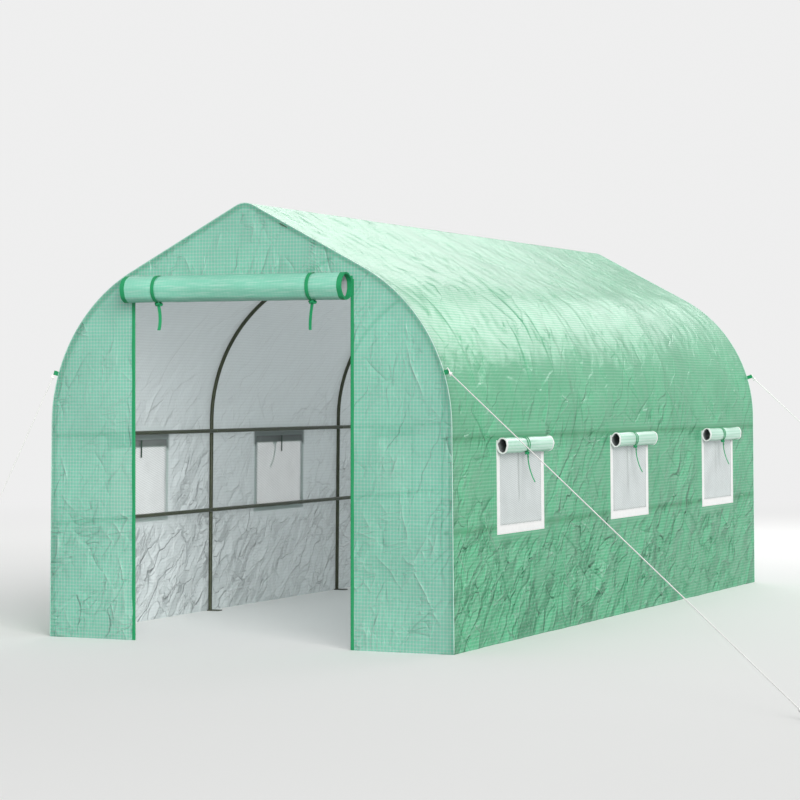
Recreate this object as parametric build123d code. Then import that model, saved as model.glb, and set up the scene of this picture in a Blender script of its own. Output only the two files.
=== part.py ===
from build123d import *
from math import asin, cos, pi, radians, sin, tan
import os

# Walk-in polytunnel greenhouse: four bent steel hoops under a sewn ripstop cover.
# Millimetres. The origin is on the ground at the middle of the plan, +X is the right-hand
# side seen from the door end, +Y runs from the door end to the closed end, +Z is up.

# Overall size, measured on the outside of the cover
LENGTH = 4500.0
WIDTH = 2000.0
RIDGE_HEIGHT = 1945.0
BAYS = 3

# Shape of a hoop, measured on the outside of the cover
WALL_LEAN = radians(0.6)
ROOF_PITCH = radians(28.0)
SHOULDER_RADIUS = 0.39 * WIDTH
RIDGE_RADIUS = 90.0

# Cover
COVER_THICKNESS = 2.0
COVER_CLEARANCE = 0.3

# Steel tubes, drawn with flat sides and closed inside, apart from the sockets at their joints
TUBE_RADIUS = 9.5
TUBE_SIDES = 8
TUBE_WALL = 0.8
SWAGE_LENGTH = 40.0
SWAGE_CLEARANCE = 0.1
JOINT_GAP = 0.3
LEG_TOP_BELOW_SHOULDER = 110.0
BOW_END_LENGTH = 60.0
ELBOW_ARM_LENGTH = 110.0
UPPER_RAIL_BELOW_SHOULDER = 55.0
LOWER_RAIL_SHARE = 0.53

# Foot plates under the legs
PLATE_LENGTH = 70.0
PLATE_WIDTH = 50.0
PLATE_THICKNESS = 4.0
PLATE_CORNER = 8.0

# Doorway in the front end and the binding along its edges
DOOR_WIDTH = 1070.0
DOOR_HEIGHT = 1600.0
DOOR_CENTRE = -18.0
BINDING_WIDTH = 15.0
BINDING_THICKNESS = 1.0

# Rolled door flap, held above the doorway by two straps. The steps are the straight sides that
# each half turn of a roll is drawn with.
DOOR_ROLL_DIAMETER = 121.0
DOOR_ROLL_PITCH = 3.5
DOOR_ROLL_STEPS = 8
DOOR_ROLL_OVERHANG = 10.0
DOOR_ROLL_BELOW_LINTEL = 31.0
DOOR_ROLL_BINDING_WIDTH = 22.0
DOOR_STRAP_SPACING = 760.0
STRAP_WIDTH = 16.0
STRAP_THICKNESS = 1.5
STRAP_CLEARANCE = 0.3
STRAP_TAIL_LENGTH = 120.0
STRAP_TAIL_BEND_RADIUS = 400.0
KNOT_RADIUS = 17.0
KNOT_HEIGHT = 14.0
KNOT_BEVEL = 4.0
KNOT_SIDES = 8

# Net windows in the side walls, one in each bay
WINDOW_WIDTH = 578.0
WINDOW_HEIGHT = 418.0
WINDOW_BELOW_SHOULDER = 70.0
WINDOW_SHIFT = 40.0
WINDOW_TAPE_WIDTH = 36.0
WINDOW_TAPE_THICKNESS = 1.5
NET_THICKNESS = 1.2
NET_MARGIN = 10.0

# Rolled window flaps, each held by a narrow tie wrapped twice round it
WINDOW_ROLL_DEPTH = 54.0
WINDOW_ROLL_DROP = 78.0
WINDOW_ROLL_PITCH = 4.0
WINDOW_ROLL_STEPS = 6
WINDOW_ROLL_BELOW_TOP = 23.0
TIE_WIDTH = 7.0
TIE_SPACING = 12.0
TIE_SHIFT = 20.0
TIE_TAIL_LENGTH = 130.0
TIE_TAIL_BEND_RADIUS = 260.0
TIE_KNOT_RADIUS = 8.0
TIE_KNOT_HEIGHT = 12.0
TIE_KNOT_BEVEL = 3.0

# Guy lines from webbing tabs on the corner hoops to hooked ground pegs
GUY_ABOVE_SHOULDER = 225.0
TAB_LENGTH = 36.0
TAB_WIDTH = 25.0
TAB_THICKNESS = 3.0
ROPE_RADIUS = 2.5
ROPE_SIDES = 6
ROPE_KNOT_RADIUS = 5.0
ROPE_KNOT_LENGTH = 14.0
PEG_KNOT_HEIGHT = 18.0
PEG_RADIUS = 3.0
PEG_SIDES = 6
PEG_HEIGHT = 46.0
PEG_HOOK_RADIUS = 11.0
PEG_HOOK_STEPS = 6
PEG_REACH_WIDE = 1930.0
PEG_REACH_AHEAD = 1490.0
PEG_REACH_FRONT_LEFT = 585.0
PEG_REACH_REAR_RIGHT = 1285.0

# Values worked out from the sizes above
HALF_LENGTH = LENGTH / 2
HALF_WIDTH = WIDTH / 2
TUBE_BORE = TUBE_RADIUS - TUBE_WALL
SWAGE_RADIUS = TUBE_BORE - SWAGE_CLEARANCE
SOCKET_DEPTH = SWAGE_LENGTH + 2 * JOINT_GAP
TUBE_INSET = COVER_THICKNESS + COVER_CLEARANCE + TUBE_RADIUS
HOOP_SPAN = LENGTH - 2 * TUBE_INSET
HOOP_PITCH = HOOP_SPAN / BAYS
HOOP_PLACES = [-HOOP_SPAN / 2 + i * HOOP_PITCH for i in range(BAYS + 1)]
ROOF_LINE_HEIGHT = RIDGE_HEIGHT - RIDGE_RADIUS + RIDGE_RADIUS / cos(ROOF_PITCH)
SHOULDER_TURN = pi / 2 - ROOF_PITCH - WALL_LEAN
LEG_UP = Vector(-sin(WALL_LEAN), 0, cos(WALL_LEAN))
ROOF_UP = Vector(-cos(ROOF_PITCH), 0, sin(ROOF_PITCH))
LEG_OUT = Vector(cos(WALL_LEAN), 0, sin(WALL_LEAN))
DOOR_LEFT = DOOR_CENTRE - DOOR_WIDTH / 2
DOOR_RIGHT = DOOR_CENTRE + DOOR_WIDTH / 2
FRONT = -HALF_LENGTH
BEHIND = Vector(0, 1, 0)
ACROSS = Vector(1, 0, 0)


def hoop_corner(inset):
    """Where the straight leg and the straight roof would cross, this far inside the cover's outside."""
    leg_x = HALF_WIDTH - inset / cos(WALL_LEAN)
    roof_z = ROOF_LINE_HEIGHT - inset / cos(ROOF_PITCH)
    x = (leg_x - roof_z * tan(WALL_LEAN)) / (1 - tan(WALL_LEAN) * tan(ROOF_PITCH))
    return Vector(x, 0, roof_z - x * tan(ROOF_PITCH))


def leg_point(inset, height):
    """A point on the leg's straight line at a height above the ground."""
    return Vector(HALF_WIDTH - inset / cos(WALL_LEAN) - height * tan(WALL_LEAN), 0, height)


def shoulder_ends(inset):
    """The two points where the shoulder's arc meets the leg and the roof."""
    reach = (SHOULDER_RADIUS - inset) * tan(SHOULDER_TURN / 2)
    corner = hoop_corner(inset)
    return corner - LEG_UP * reach, corner + ROOF_UP * reach


# Heights that follow the top of the straight wall, where the shoulder begins
WALL_HEIGHT = shoulder_ends(0)[0].Z
LEG_TOP_HEIGHT = WALL_HEIGHT - LEG_TOP_BELOW_SHOULDER
UPPER_RAIL_HEIGHT = WALL_HEIGHT - UPPER_RAIL_BELOW_SHOULDER
LOWER_RAIL_HEIGHT = WALL_HEIGHT * LOWER_RAIL_SHARE
WINDOW_BOTTOM = WALL_HEIGHT - WINDOW_BELOW_SHOULDER - WINDOW_HEIGHT
WINDOW_ROLL_HEIGHT = WINDOW_BOTTOM + WINDOW_HEIGHT - WINDOW_ROLL_BELOW_TOP
GUY_HEIGHT = WALL_HEIGHT + GUY_ABOVE_SHOULDER
DOOR_ROLL_HEIGHT = DOOR_HEIGHT - DOOR_ROLL_BELOW_LINTEL


def shoulder_middle(inset):
    """The point half way along the shoulder's arc."""
    low, high = shoulder_ends(inset)
    radius = SHOULDER_RADIUS - inset
    centre = low - LEG_OUT * radius
    angle = WALL_LEAN + SHOULDER_TURN / 2
    return centre + Vector(cos(angle), 0, sin(angle)) * radius


def shoulder_point(inset, height):
    """The point of the shoulder's arc at a height, and the arc's outward direction there."""
    radius = SHOULDER_RADIUS - inset
    centre = shoulder_ends(inset)[0] - LEG_OUT * radius
    angle = asin((height - centre.Z) / radius)
    out = Vector(cos(angle), 0, sin(angle))
    return centre + out * radius, out


def ridge_start(inset):
    """The point where the straight roof meets the small arc over the ridge."""
    radius = RIDGE_RADIUS - inset
    return Vector(radius * sin(ROOF_PITCH), 0, RIDGE_HEIGHT - RIDGE_RADIUS + radius * cos(ROOF_PITCH))


def ridge_point(inset):
    """The top of the hoop's outline, this far inside the cover's outside."""
    return Vector(0, 0, RIDGE_HEIGHT - inset)


def mirrored(shape):
    """The same piece on the left-hand side."""
    return mirror(shape, about=Plane.YZ)


def lengthwise(face_edges, start, length):
    """A flat outline in the XZ plane, drawn out along the tunnel."""
    face = Face(Wire(face_edges)).moved(Location((0, start, 0)))
    return extrude(face, amount=length, dir=(0, 1, 0))


def tube_section(radius, place, direction, across):
    """The outline of a tube, a many-sided figure whose corners lie on its radius."""
    plane = Plane(origin=place, x_dir=across, z_dir=direction)
    return plane * RegularPolygon(radius, TUBE_SIDES)


def straight_tube(start, finish, radius, across=BEHIND):
    """A tube between two points."""
    run = finish - start
    return extrude(tube_section(radius, start, run, across), amount=run.length, dir=run)


def swaged_end(start, direction, across=BEHIND):
    """The narrowed end of a tube that slips into the next one's socket."""
    return straight_tube(start, start + direction * SWAGE_LENGTH, SWAGE_RADIUS, across)


def socket(mouth, direction, across=BEHIND):
    """The bore at the end of a tube that takes a narrowed end, to be cut away."""
    return straight_tube(mouth - direction * JOINT_GAP, mouth + direction * SOCKET_DEPTH, TUBE_BORE, across)


def at_hoops(shape):
    """A copy of a piece at each hoop."""
    return [shape.moved(Location((0, place, 0))) for place in HOOP_PLACES]


def make_leg():
    """A straight leg that stands on its foot plate, with its narrowed end inside the bow."""
    foot = leg_point(TUBE_INSET, PLATE_THICKNESS + TUBE_RADIUS * sin(WALL_LEAN))
    top = leg_point(TUBE_INSET, LEG_TOP_HEIGHT)
    return straight_tube(foot, top, TUBE_RADIUS) + swaged_end(top, LEG_UP)


def make_bow():
    """The bent shoulder tube: a socket over the leg, the arc, and a narrowed upper end."""
    low, high = shoulder_ends(TUBE_INSET)
    mouth = leg_point(TUBE_INSET, LEG_TOP_HEIGHT) + LEG_UP * JOINT_GAP
    end = high + ROOF_UP * BOW_END_LENGTH
    arc = ThreePointArc(low, shoulder_middle(TUBE_INSET), high)
    path = Wire([Line(mouth, low), arc, Line(high, end)])
    tube = sweep(tube_section(TUBE_RADIUS, mouth, LEG_UP, BEHIND), path=path)
    return tube - socket(mouth, LEG_UP) + swaged_end(end, ROOF_UP)


def elbow_arm_end():
    """The end of the ridge elbow's full-width arm on the right-hand roof."""
    return ridge_start(TUBE_INSET) - ROOF_UP * ELBOW_ARM_LENGTH


def make_rafter():
    """The straight roof tube between the bow and the ridge elbow, a socket at both ends."""
    low = shoulder_ends(TUBE_INSET)[1] + ROOF_UP * (BOW_END_LENGTH + JOINT_GAP)
    high = elbow_arm_end() - ROOF_UP * JOINT_GAP
    return straight_tube(low, high, TUBE_RADIUS) - socket(low, ROOF_UP) - socket(high, ROOF_UP * -1)


def make_ridge_elbow(forward_stub, rear_stub):
    """The bent ridge piece, with narrowed arms for the rafters and stubs for the ridge bars."""
    arm_end = elbow_arm_end()
    left_end = Vector(-arm_end.X, 0, arm_end.Z)
    start = ridge_start(TUBE_INSET)
    finish = Vector(-start.X, 0, start.Z)
    top = ridge_point(TUBE_INSET)
    path = Wire([Line(arm_end, start), ThreePointArc(start, top, finish), Line(finish, left_end)])
    elbow = sweep(tube_section(TUBE_RADIUS, arm_end, ROOF_UP, BEHIND), path=path)
    right_arm = swaged_end(arm_end, ROOF_UP * -1)
    elbow = elbow + right_arm + mirrored(right_arm)
    reach = BEHIND * (TUBE_RADIUS + SWAGE_LENGTH)
    if forward_stub:
        elbow += straight_tube(top, top - reach, SWAGE_RADIUS, ACROSS)
    if rear_stub:
        elbow += straight_tube(top, top + reach, SWAGE_RADIUS, ACROSS)
    return elbow


def make_ridge_elbows():
    """The ridge elbows, the end ones with a stub on their inner side only."""
    last = len(HOOP_PLACES) - 1
    elbows = []
    for i, place in enumerate(HOOP_PLACES):
        elbow = make_ridge_elbow(forward_stub=i > 0, rear_stub=i < last)
        elbows.append(elbow.moved(Location((0, place, 0))))
    return elbows


def make_ridge_bars():
    """The ridge tubes, each with a socket over the stubs of two elbows."""
    top = ridge_point(TUBE_INSET)
    side = TUBE_RADIUS + JOINT_GAP
    bars = []
    for near, far in zip(HOOP_PLACES, HOOP_PLACES[1:]):
        start = top + BEHIND * (near + side)
        finish = top + BEHIND * (far - side)
        bar = straight_tube(start, finish, TUBE_RADIUS, ACROSS)
        bars.append(bar - socket(start, BEHIND, ACROSS) - socket(finish, BEHIND * -1, ACROSS))
    return bars


def make_rail(height):
    """A side rail on the inner faces of the legs: one tube for each bay, slipped end into end."""
    inset = TUBE_INSET + 2 * TUBE_RADIUS + JOINT_GAP
    line = leg_point(inset, height)
    reach = HALF_LENGTH - COVER_THICKNESS - COVER_CLEARANCE
    piece = 2 * reach / BAYS
    tubes = []
    for i in range(BAYS):
        near = line + BEHIND * (-reach + i * piece)
        last = i == BAYS - 1
        far = near + BEHIND * (piece if last else piece - JOINT_GAP)
        tube = straight_tube(near, far, TUBE_RADIUS, ACROSS)
        if i > 0:
            tube -= socket(near, BEHIND, ACROSS)
        tubes.append(tube if last else tube + swaged_end(far, BEHIND, ACROSS))
    return tubes


def make_foot_plates():
    """The small flat plates under the legs."""
    plate = Box(PLATE_LENGTH, PLATE_WIDTH, PLATE_THICKNESS, align=(Align.CENTER, Align.CENTER, Align.MIN))
    plate = chamfer(plate.edges().filter_by(Axis.Z), PLATE_CORNER)
    foot = leg_point(TUBE_INSET, 0)
    inward = PLATE_LENGTH / 2 - TUBE_RADIUS
    inside = HALF_LENGTH - COVER_THICKNESS - COVER_CLEARANCE - PLATE_WIDTH / 2
    plates = []
    for place in HOOP_PLACES:
        along = max(-inside, min(inside, place))
        right = plate.moved(Location((foot.X - inward, along, 0)))
        plates += [right, mirrored(right)]
    return plates


def make_wall_cover():
    """The flat side wall of the cover, cut out behind each window net."""
    low_out = shoulder_ends(0)[0]
    low_in = shoulder_ends(COVER_THICKNESS)[0]
    corners = [leg_point(0, 0), low_out, low_in, leg_point(COVER_THICKNESS, 0)]
    wall = lengthwise(Polyline(*corners, close=True).edges(), FRONT + COVER_THICKNESS,
                      LENGTH - 2 * COVER_THICKNESS)
    hole = window_block(net_margin(), -2 * COVER_THICKNESS, COVER_THICKNESS)
    for cut in on_wall(hole):
        wall -= cut
    return wall


def make_shoulder_cover():
    """The rolled-over shoulder of the cover, an arc in section."""
    low_out, high_out = shoulder_ends(0)
    low_in, high_in = shoulder_ends(COVER_THICKNESS)
    outer = ThreePointArc(low_out, shoulder_middle(0), high_out)
    inner = ThreePointArc(high_in, shoulder_middle(COVER_THICKNESS), low_in)
    edges = [outer, Line(high_out, high_in), inner, Line(low_in, low_out)]
    return lengthwise(edges, FRONT + COVER_THICKNESS, LENGTH - 2 * COVER_THICKNESS)


def ridge_arc(inset):
    """Half of the small arc over the ridge, from the straight roof to the top."""
    radius = RIDGE_RADIUS - inset
    middle = Vector(radius * sin(ROOF_PITCH / 2), 0,
                    RIDGE_HEIGHT - RIDGE_RADIUS + radius * cos(ROOF_PITCH / 2))
    return ThreePointArc(ridge_start(inset), middle, ridge_point(inset))


def make_roof_cover():
    """One slope of the roof, from the shoulder to the middle of the ridge."""
    high_out = shoulder_ends(0)[1]
    high_in = shoulder_ends(COVER_THICKNESS)[1]
    edges = [
        Line(high_out, ridge_start(0)),
        ridge_arc(0),
        Line(ridge_point(0), ridge_point(COVER_THICKNESS)),
        ridge_arc(COVER_THICKNESS),
        Line(ridge_start(COVER_THICKNESS), high_in),
        Line(high_in, high_out),
    ]
    return lengthwise(edges, FRONT + COVER_THICKNESS, LENGTH - 2 * COVER_THICKNESS)


def end_outline():
    """The closed outline of an end of the tunnel."""
    low, high = shoulder_ends(0)
    foot = leg_point(0, 0)
    right = [
        Line(foot, low),
        ThreePointArc(low, shoulder_middle(0), high),
        Line(high, ridge_start(0)),
        ridge_arc(0),
    ]
    left = [edge for side in right for edge in mirrored(side).edges()]
    return right + left + [Line(Vector(-foot.X, 0, 0), foot)]


def make_end_panel(start):
    """A whole end of the cover, one cover thickness deep."""
    return lengthwise(end_outline(), start, COVER_THICKNESS)


def region(low_x, high_x, low_z, high_z):
    """A block round the front end that keeps one part of it."""
    depth = 4 * COVER_THICKNESS
    block = Box(high_x - low_x, depth, high_z - low_z, align=(Align.MIN, Align.CENTER, Align.MIN))
    return block.moved(Location((low_x, FRONT, low_z)))


def make_front_panels():
    """The front end in three pieces: left of the doorway, right of it, and the gable over it."""
    front = make_end_panel(FRONT)
    left_edge = DOOR_LEFT - BINDING_THICKNESS
    right_edge = DOOR_RIGHT + BINDING_THICKNESS
    return {
        "front_left_panel": front & region(-WIDTH, left_edge, 0, DOOR_HEIGHT),
        "front_right_panel": front & region(right_edge, WIDTH, 0, DOOR_HEIGHT),
        "front_gable_panel": front & region(-WIDTH, WIDTH, DOOR_HEIGHT, 2 * RIDGE_HEIGHT),
    }


def folded_tape(length):
    """A tape folded over an edge, U-shaped in section: the edge faces +X and the tape runs up."""
    outer = Rectangle(BINDING_WIDTH + BINDING_THICKNESS, COVER_THICKNESS + 2 * BINDING_THICKNESS,
                      align=(Align.MAX, Align.CENTER))
    slot = Rectangle(BINDING_WIDTH, COVER_THICKNESS, align=(Align.MAX, Align.CENTER))
    return extrude(outer - slot.moved(Location((-BINDING_THICKNESS, 0, 0))), amount=length)


def make_door_bindings():
    """The tapes folded over the two upright edges and the top edge of the doorway."""
    side = folded_tape(DOOR_HEIGHT - BINDING_THICKNESS)
    middle = FRONT + COVER_THICKNESS / 2
    left = side.moved(Location((DOOR_LEFT, middle, 0)))
    right = mirrored(side).moved(Location((DOOR_RIGHT, middle, 0)))
    top_place = Plane(origin=(DOOR_LEFT + JOINT_GAP, middle, DOOR_HEIGHT - BINDING_THICKNESS),
                      x_dir=(0, 0, -1), z_dir=(1, 0, 0))
    return [left, right, top_place * folded_tape(DOOR_WIDTH - 2 * JOINT_GAP)]


def roll_half_turns(depth, drop, pitch, sheet_length, seam_height, centre_height):
    """The centre, radius and side of each half turn of a sheet wound into a roll, outermost first.

    Seen from the roll's end, x runs away from the wall and y up. The sheet comes down the wall,
    passes under the roll (side 1), over it (side -1) and so on, each half turn half a pitch tighter,
    so the turns lie inside each other without touching."""
    straight = drop - depth
    radius = (depth - COVER_THICKNESS) / 2
    edge_x = COVER_THICKNESS / 2
    used = seam_height - centre_height
    side = 1
    turns = []
    while used < sheet_length and radius > pitch:
        turns.append((Vector(edge_x + side * radius, centre_height - side * straight / 2), radius, side))
        used += pi * radius + straight
        edge_x += side * 2 * radius
        radius -= pitch / 2
        side = -side
    return turns


def half_circle(centre, radius, side, steps):
    """Points half way round a circle, from one side of it past the bottom (side 1) or the top (side -1)."""
    turns = [pi * i / steps for i in range(steps + 1)]
    return [centre - Vector(cos(turn), sin(turn)) * side * radius for turn in turns]


def sheet_side(turns, steps, seam, swell):
    """One face of the wound sheet as a chain of points, from its seam inwards."""
    points = [seam]
    for centre, radius, side in turns:
        for point in half_circle(centre, radius + swell, side, steps):
            if (point - points[-1]).length > COVER_CLEARANCE:
                points.append(point)
    return points


def wound_sheet(turns, steps, seam_height):
    """The end view of the whole wound sheet, with the flat strip that is sewn to the wall."""
    half_sheet = COVER_THICKNESS / 2
    outer = sheet_side(turns, steps, Vector(0, seam_height), half_sheet)
    inner = sheet_side(turns, steps, Vector(COVER_THICKNESS, seam_height), -half_sheet)
    return Face(Wire(Polyline(*outer, *reversed(inner), close=True).edges()))


def oval(depth, drop, steps, centre):
    """A circle, or two half circles joined by straight sides, as tall as the drop."""
    radius = depth / 2
    lift = Vector(0, (drop - depth) / 2)
    points = half_circle(centre - lift, radius, 1, steps)
    for point in half_circle(centre + lift, radius, -1, steps):
        if min((point - other).length for other in points) > COVER_CLEARANCE:
            points.append(point)
    return Face(Wire(Polyline(*points, close=True).edges()))


def drawn_between(face, low, high):
    """A flat shape drawn out along the roll, between two places on its axis."""
    return extrude(face, amount=high - low, dir=(0, 0, 1)).moved(Location((0, 0, low)))


def strap_band(depth, drop, steps, centre, width):
    """A strap that goes over the front of a roll, from the wall above it to the wall below it."""
    inner = oval(depth + 2 * STRAP_CLEARANCE, drop + 2 * STRAP_CLEARANCE, steps, centre)
    swell = 2 * (STRAP_CLEARANCE + STRAP_THICKNESS)
    band = drawn_between(oval(depth + swell, drop + swell, steps, centre) - inner, -width / 2, width / 2)
    behind = Box(depth, 2 * drop, 2 * width, align=(Align.MAX, Align.CENTER, Align.CENTER))
    return band - behind.moved(Location((COVER_THICKNESS + STRAP_CLEARANCE, centre.Y, 0)))


def hanging_tail(start, length, width, bend_radius):
    """The free end of a strap, a flat strip that hangs and bends a little away from the wall."""
    turn = length / bend_radius
    centre = start + Vector(bend_radius, 0)
    edges = []
    ends = []
    for radius in (bend_radius + STRAP_THICKNESS / 2, bend_radius - STRAP_THICKNESS / 2):
        first = centre - Vector(radius, 0)
        middle = centre - Vector(radius * cos(turn / 2), radius * sin(turn / 2))
        last = centre - Vector(radius * cos(turn), radius * sin(turn))
        edges.append(ThreePointArc(first, middle, last))
        ends.append((first, last))
    edges.append(Line(ends[0][1], ends[1][1]))
    edges.append(Line(ends[1][0], ends[0][0]))
    return drawn_between(Face(Wire(edges)), -width / 2, width / 2)


def bead(radius, height, bevel, centre):
    """A knot pulled tight: a short many-sided drum with bevelled rims, its axis upright."""
    knot = extrude(RegularPolygon(radius, KNOT_SIDES), amount=height / 2, both=True)
    rims = knot.edges().group_by(Axis.Z)
    knot = chamfer(rims[0] + rims[-1], bevel)
    return knot.rotate(Axis.X, 90).moved(Location((centre.X, centre.Y, 0)))


def door_plane():
    """The front of the doorway's bindings: x away from them, y up, z along the doorway to the left."""
    return Plane(origin=(0, FRONT - BINDING_THICKNESS, 0), x_dir=(0, -1, 0), z_dir=(-1, 0, 0))


def wall_plane():
    """The outside of the right wall: x away from it, y up it, z towards the door end."""
    return Plane(origin=leg_point(0, 0), x_dir=LEG_OUT, z_dir=(0, -1, 0))


def make_door_flap():
    """The rolled door flap and the bindings wound into both its ends."""
    seam = DOOR_HEIGHT + BINDING_WIDTH
    turns = roll_half_turns(DOOR_ROLL_DIAMETER, DOOR_ROLL_DIAMETER, DOOR_ROLL_PITCH,
                            DOOR_HEIGHT, seam, DOOR_ROLL_HEIGHT)
    face = wound_sheet(turns, DOOR_ROLL_STEPS, seam)
    low = -DOOR_RIGHT - DOOR_ROLL_OVERHANG
    high = -DOOR_LEFT + DOOR_ROLL_OVERHANG
    low_flap = low + DOOR_ROLL_BINDING_WIDTH
    high_flap = high - DOOR_ROLL_BINDING_WIDTH
    place = door_plane()
    flap = place * drawn_between(face, low_flap, high_flap)
    bindings = [place * drawn_between(face, low, low_flap), place * drawn_between(face, high_flap, high)]
    return flap, bindings


def make_door_straps():
    """The two straps that hold the door roll up, each with its knot and hanging tail."""
    centre = Vector(DOOR_ROLL_DIAMETER / 2, DOOR_ROLL_HEIGHT)
    band = strap_band(DOOR_ROLL_DIAMETER, DOOR_ROLL_DIAMETER, DOOR_ROLL_STEPS, centre, STRAP_WIDTH)
    under = DOOR_ROLL_DIAMETER / 2 + STRAP_CLEARANCE
    knot_centre = centre - Vector(0, under + KNOT_HEIGHT / 2)
    knot = bead(KNOT_RADIUS, KNOT_HEIGHT, KNOT_BEVEL, knot_centre)
    tail = hanging_tail(knot_centre, STRAP_TAIL_LENGTH, STRAP_WIDTH, STRAP_TAIL_BEND_RADIUS)
    strap = band + knot + tail
    offsets = (DOOR_STRAP_SPACING / 2 - DOOR_CENTRE, -DOOR_STRAP_SPACING / 2 - DOOR_CENTRE)
    return [door_plane() * strap.moved(Location((0, 0, offset))) for offset in offsets]


def window_places():
    """The middles of the windows along the tunnel, as places on the wall plane's z axis."""
    bay = LENGTH / BAYS
    return [-(FRONT + (i + 1 / 2) * bay + WINDOW_SHIFT) for i in range(BAYS)]


def on_wall(shape):
    """A copy of a piece of the right wall for each window."""
    return [wall_plane() * shape.moved(Location((0, 0, place))) for place in window_places()]


def window_block(margin, low_x, high_x):
    """A block as large as the window with a margin round it, between two depths off the wall."""
    block = Box(high_x - low_x, WINDOW_HEIGHT + 2 * margin, WINDOW_WIDTH + 2 * margin,
                align=(Align.MIN, Align.CENTER, Align.CENTER))
    return block.moved(Location((low_x, WINDOW_BOTTOM + WINDOW_HEIGHT / 2, 0)))


def net_margin():
    """How far the net and its cut-out reach past the window's outline, a negative margin."""
    return NET_MARGIN - WINDOW_TAPE_WIDTH


def make_window_frame():
    """The tape sewn round a window, a flat ring on the outside of the wall."""
    ring = window_block(0, 0, WINDOW_TAPE_THICKNESS)
    return ring - window_block(-WINDOW_TAPE_WIDTH, -WINDOW_TAPE_THICKNESS, 2 * WINDOW_TAPE_THICKNESS)


def make_window_net():
    """The net of a window, in the wall's cut-out behind the tape."""
    return window_block(net_margin(), -NET_THICKNESS, 0)


def roll_off_tape():
    """The shift that lays a window flap's seam on the outside of the tape."""
    return Location((WINDOW_TAPE_THICKNESS, 0, 0))


def make_window_roll():
    """A window's rolled flap, an oval roll as wide as the window."""
    seam = WINDOW_BOTTOM + WINDOW_HEIGHT
    turns = roll_half_turns(WINDOW_ROLL_DEPTH, WINDOW_ROLL_DROP, WINDOW_ROLL_PITCH,
                            WINDOW_HEIGHT, seam, WINDOW_ROLL_HEIGHT)
    face = wound_sheet(turns, WINDOW_ROLL_STEPS, seam)
    return drawn_between(face, -WINDOW_WIDTH / 2, WINDOW_WIDTH / 2).moved(roll_off_tape())


def make_window_tie():
    """The narrow tie of a window roll: two turns round it, a knot below and a hanging tail."""
    centre = Vector(WINDOW_ROLL_DEPTH / 2, WINDOW_ROLL_HEIGHT)
    band = strap_band(WINDOW_ROLL_DEPTH, WINDOW_ROLL_DROP, WINDOW_ROLL_STEPS, centre, TIE_WIDTH)
    under = WINDOW_ROLL_DROP / 2 + STRAP_CLEARANCE
    knot_centre = centre - Vector(0, under + TIE_KNOT_HEIGHT / 2)
    knot = bead(TIE_KNOT_RADIUS, TIE_KNOT_HEIGHT, TIE_KNOT_BEVEL, knot_centre)
    tail = hanging_tail(knot_centre, TIE_TAIL_LENGTH, TIE_WIDTH, TIE_TAIL_BEND_RADIUS)
    tie = knot + tail
    for side in (-1, 1):
        tie += band.moved(Location((0, 0, side * TIE_SPACING / 2)))
    return tie.moved(roll_off_tape()).moved(Location((0, 0, -TIE_SHIFT)))


def make_tab(front):
    """A webbing tab on the right corner of an end hoop, folded round the end of its guy line."""
    point, out = shoulder_point(0, GUY_HEIGHT)
    start = FRONT if front else HALF_LENGTH - TAB_THICKNESS
    origin = point + out * COVER_CLEARANCE + BEHIND * start
    face = Rectangle(TAB_LENGTH, TAB_WIDTH, align=(Align.MIN, Align.CENTER))
    return Plane(origin=origin, x_dir=out, z_dir=BEHIND) * extrude(face, amount=TAB_THICKNESS)


def squared(direction, run):
    """The part of a direction that is at right angles to a run."""
    return direction - run * direction.dot(run)


def rope_piece(start, finish, radius, towards):
    """A straight run of rope or a knot in it, many-sided, with a corner on the side of a direction."""
    run = finish - start
    section = Plane(origin=start, x_dir=squared(towards, run.normalized()), z_dir=run)
    return section * extrude(RegularPolygon(radius, ROPE_SIDES), amount=run.length)


def make_guy_rope(front, peg):
    """A taut guy line on the right, with a knot against its tab and a knot against its peg."""
    point, out = shoulder_point(0, GUY_HEIGHT)
    middle = FRONT + TAB_THICKNESS / 2 if front else HALF_LENGTH - TAB_THICKNESS / 2
    tab_end = point + out * (COVER_CLEARANCE + TAB_LENGTH) + BEHIND * middle
    back = Vector(peg.X - tab_end.X, peg.Y - tab_end.Y, 0).normalized()
    peg_side = peg - back * PEG_RADIUS + Vector(0, 0, PEG_KNOT_HEIGHT)
    run = (tab_end - peg_side).normalized()
    top = tab_end + out * (COVER_CLEARANCE + ROPE_KNOT_RADIUS * squared(out, run).length)
    low = peg_side - back * (COVER_CLEARANCE + ROPE_KNOT_RADIUS * squared(back, run).length)
    along = run * ROPE_KNOT_LENGTH
    low_knot = rope_piece(low, low + along, ROPE_KNOT_RADIUS, back)
    top_knot = rope_piece(top - along, top, ROPE_KNOT_RADIUS, out * -1)
    return rope_piece(low, top, ROPE_RADIUS, back) + low_knot + top_knot


def make_peg(peg, tab):
    """The part of a ground peg above the ground: an upright rod with a hook bent away from the tunnel."""
    away = Vector(peg.X - tab.X, peg.Y - tab.Y, 0).normalized()
    bend = peg + Vector(0, 0, PEG_HEIGHT - PEG_RADIUS - PEG_HOOK_RADIUS)
    top = bend + away * PEG_HOOK_RADIUS + Vector(0, 0, PEG_HOOK_RADIUS)
    tip = bend + away * 2 * PEG_HOOK_RADIUS
    hook = ThreePointArc(bend, top, tip)
    path = Polyline(peg, *[hook @ (i / PEG_HOOK_STEPS) for i in range(PEG_HOOK_STEPS + 1)])
    section = Plane(origin=peg, x_dir=away, z_dir=(0, 0, 1)) * RegularPolygon(PEG_RADIUS, PEG_SIDES)
    return sweep(section, path=path, transition=Transition.RIGHT)


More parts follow.
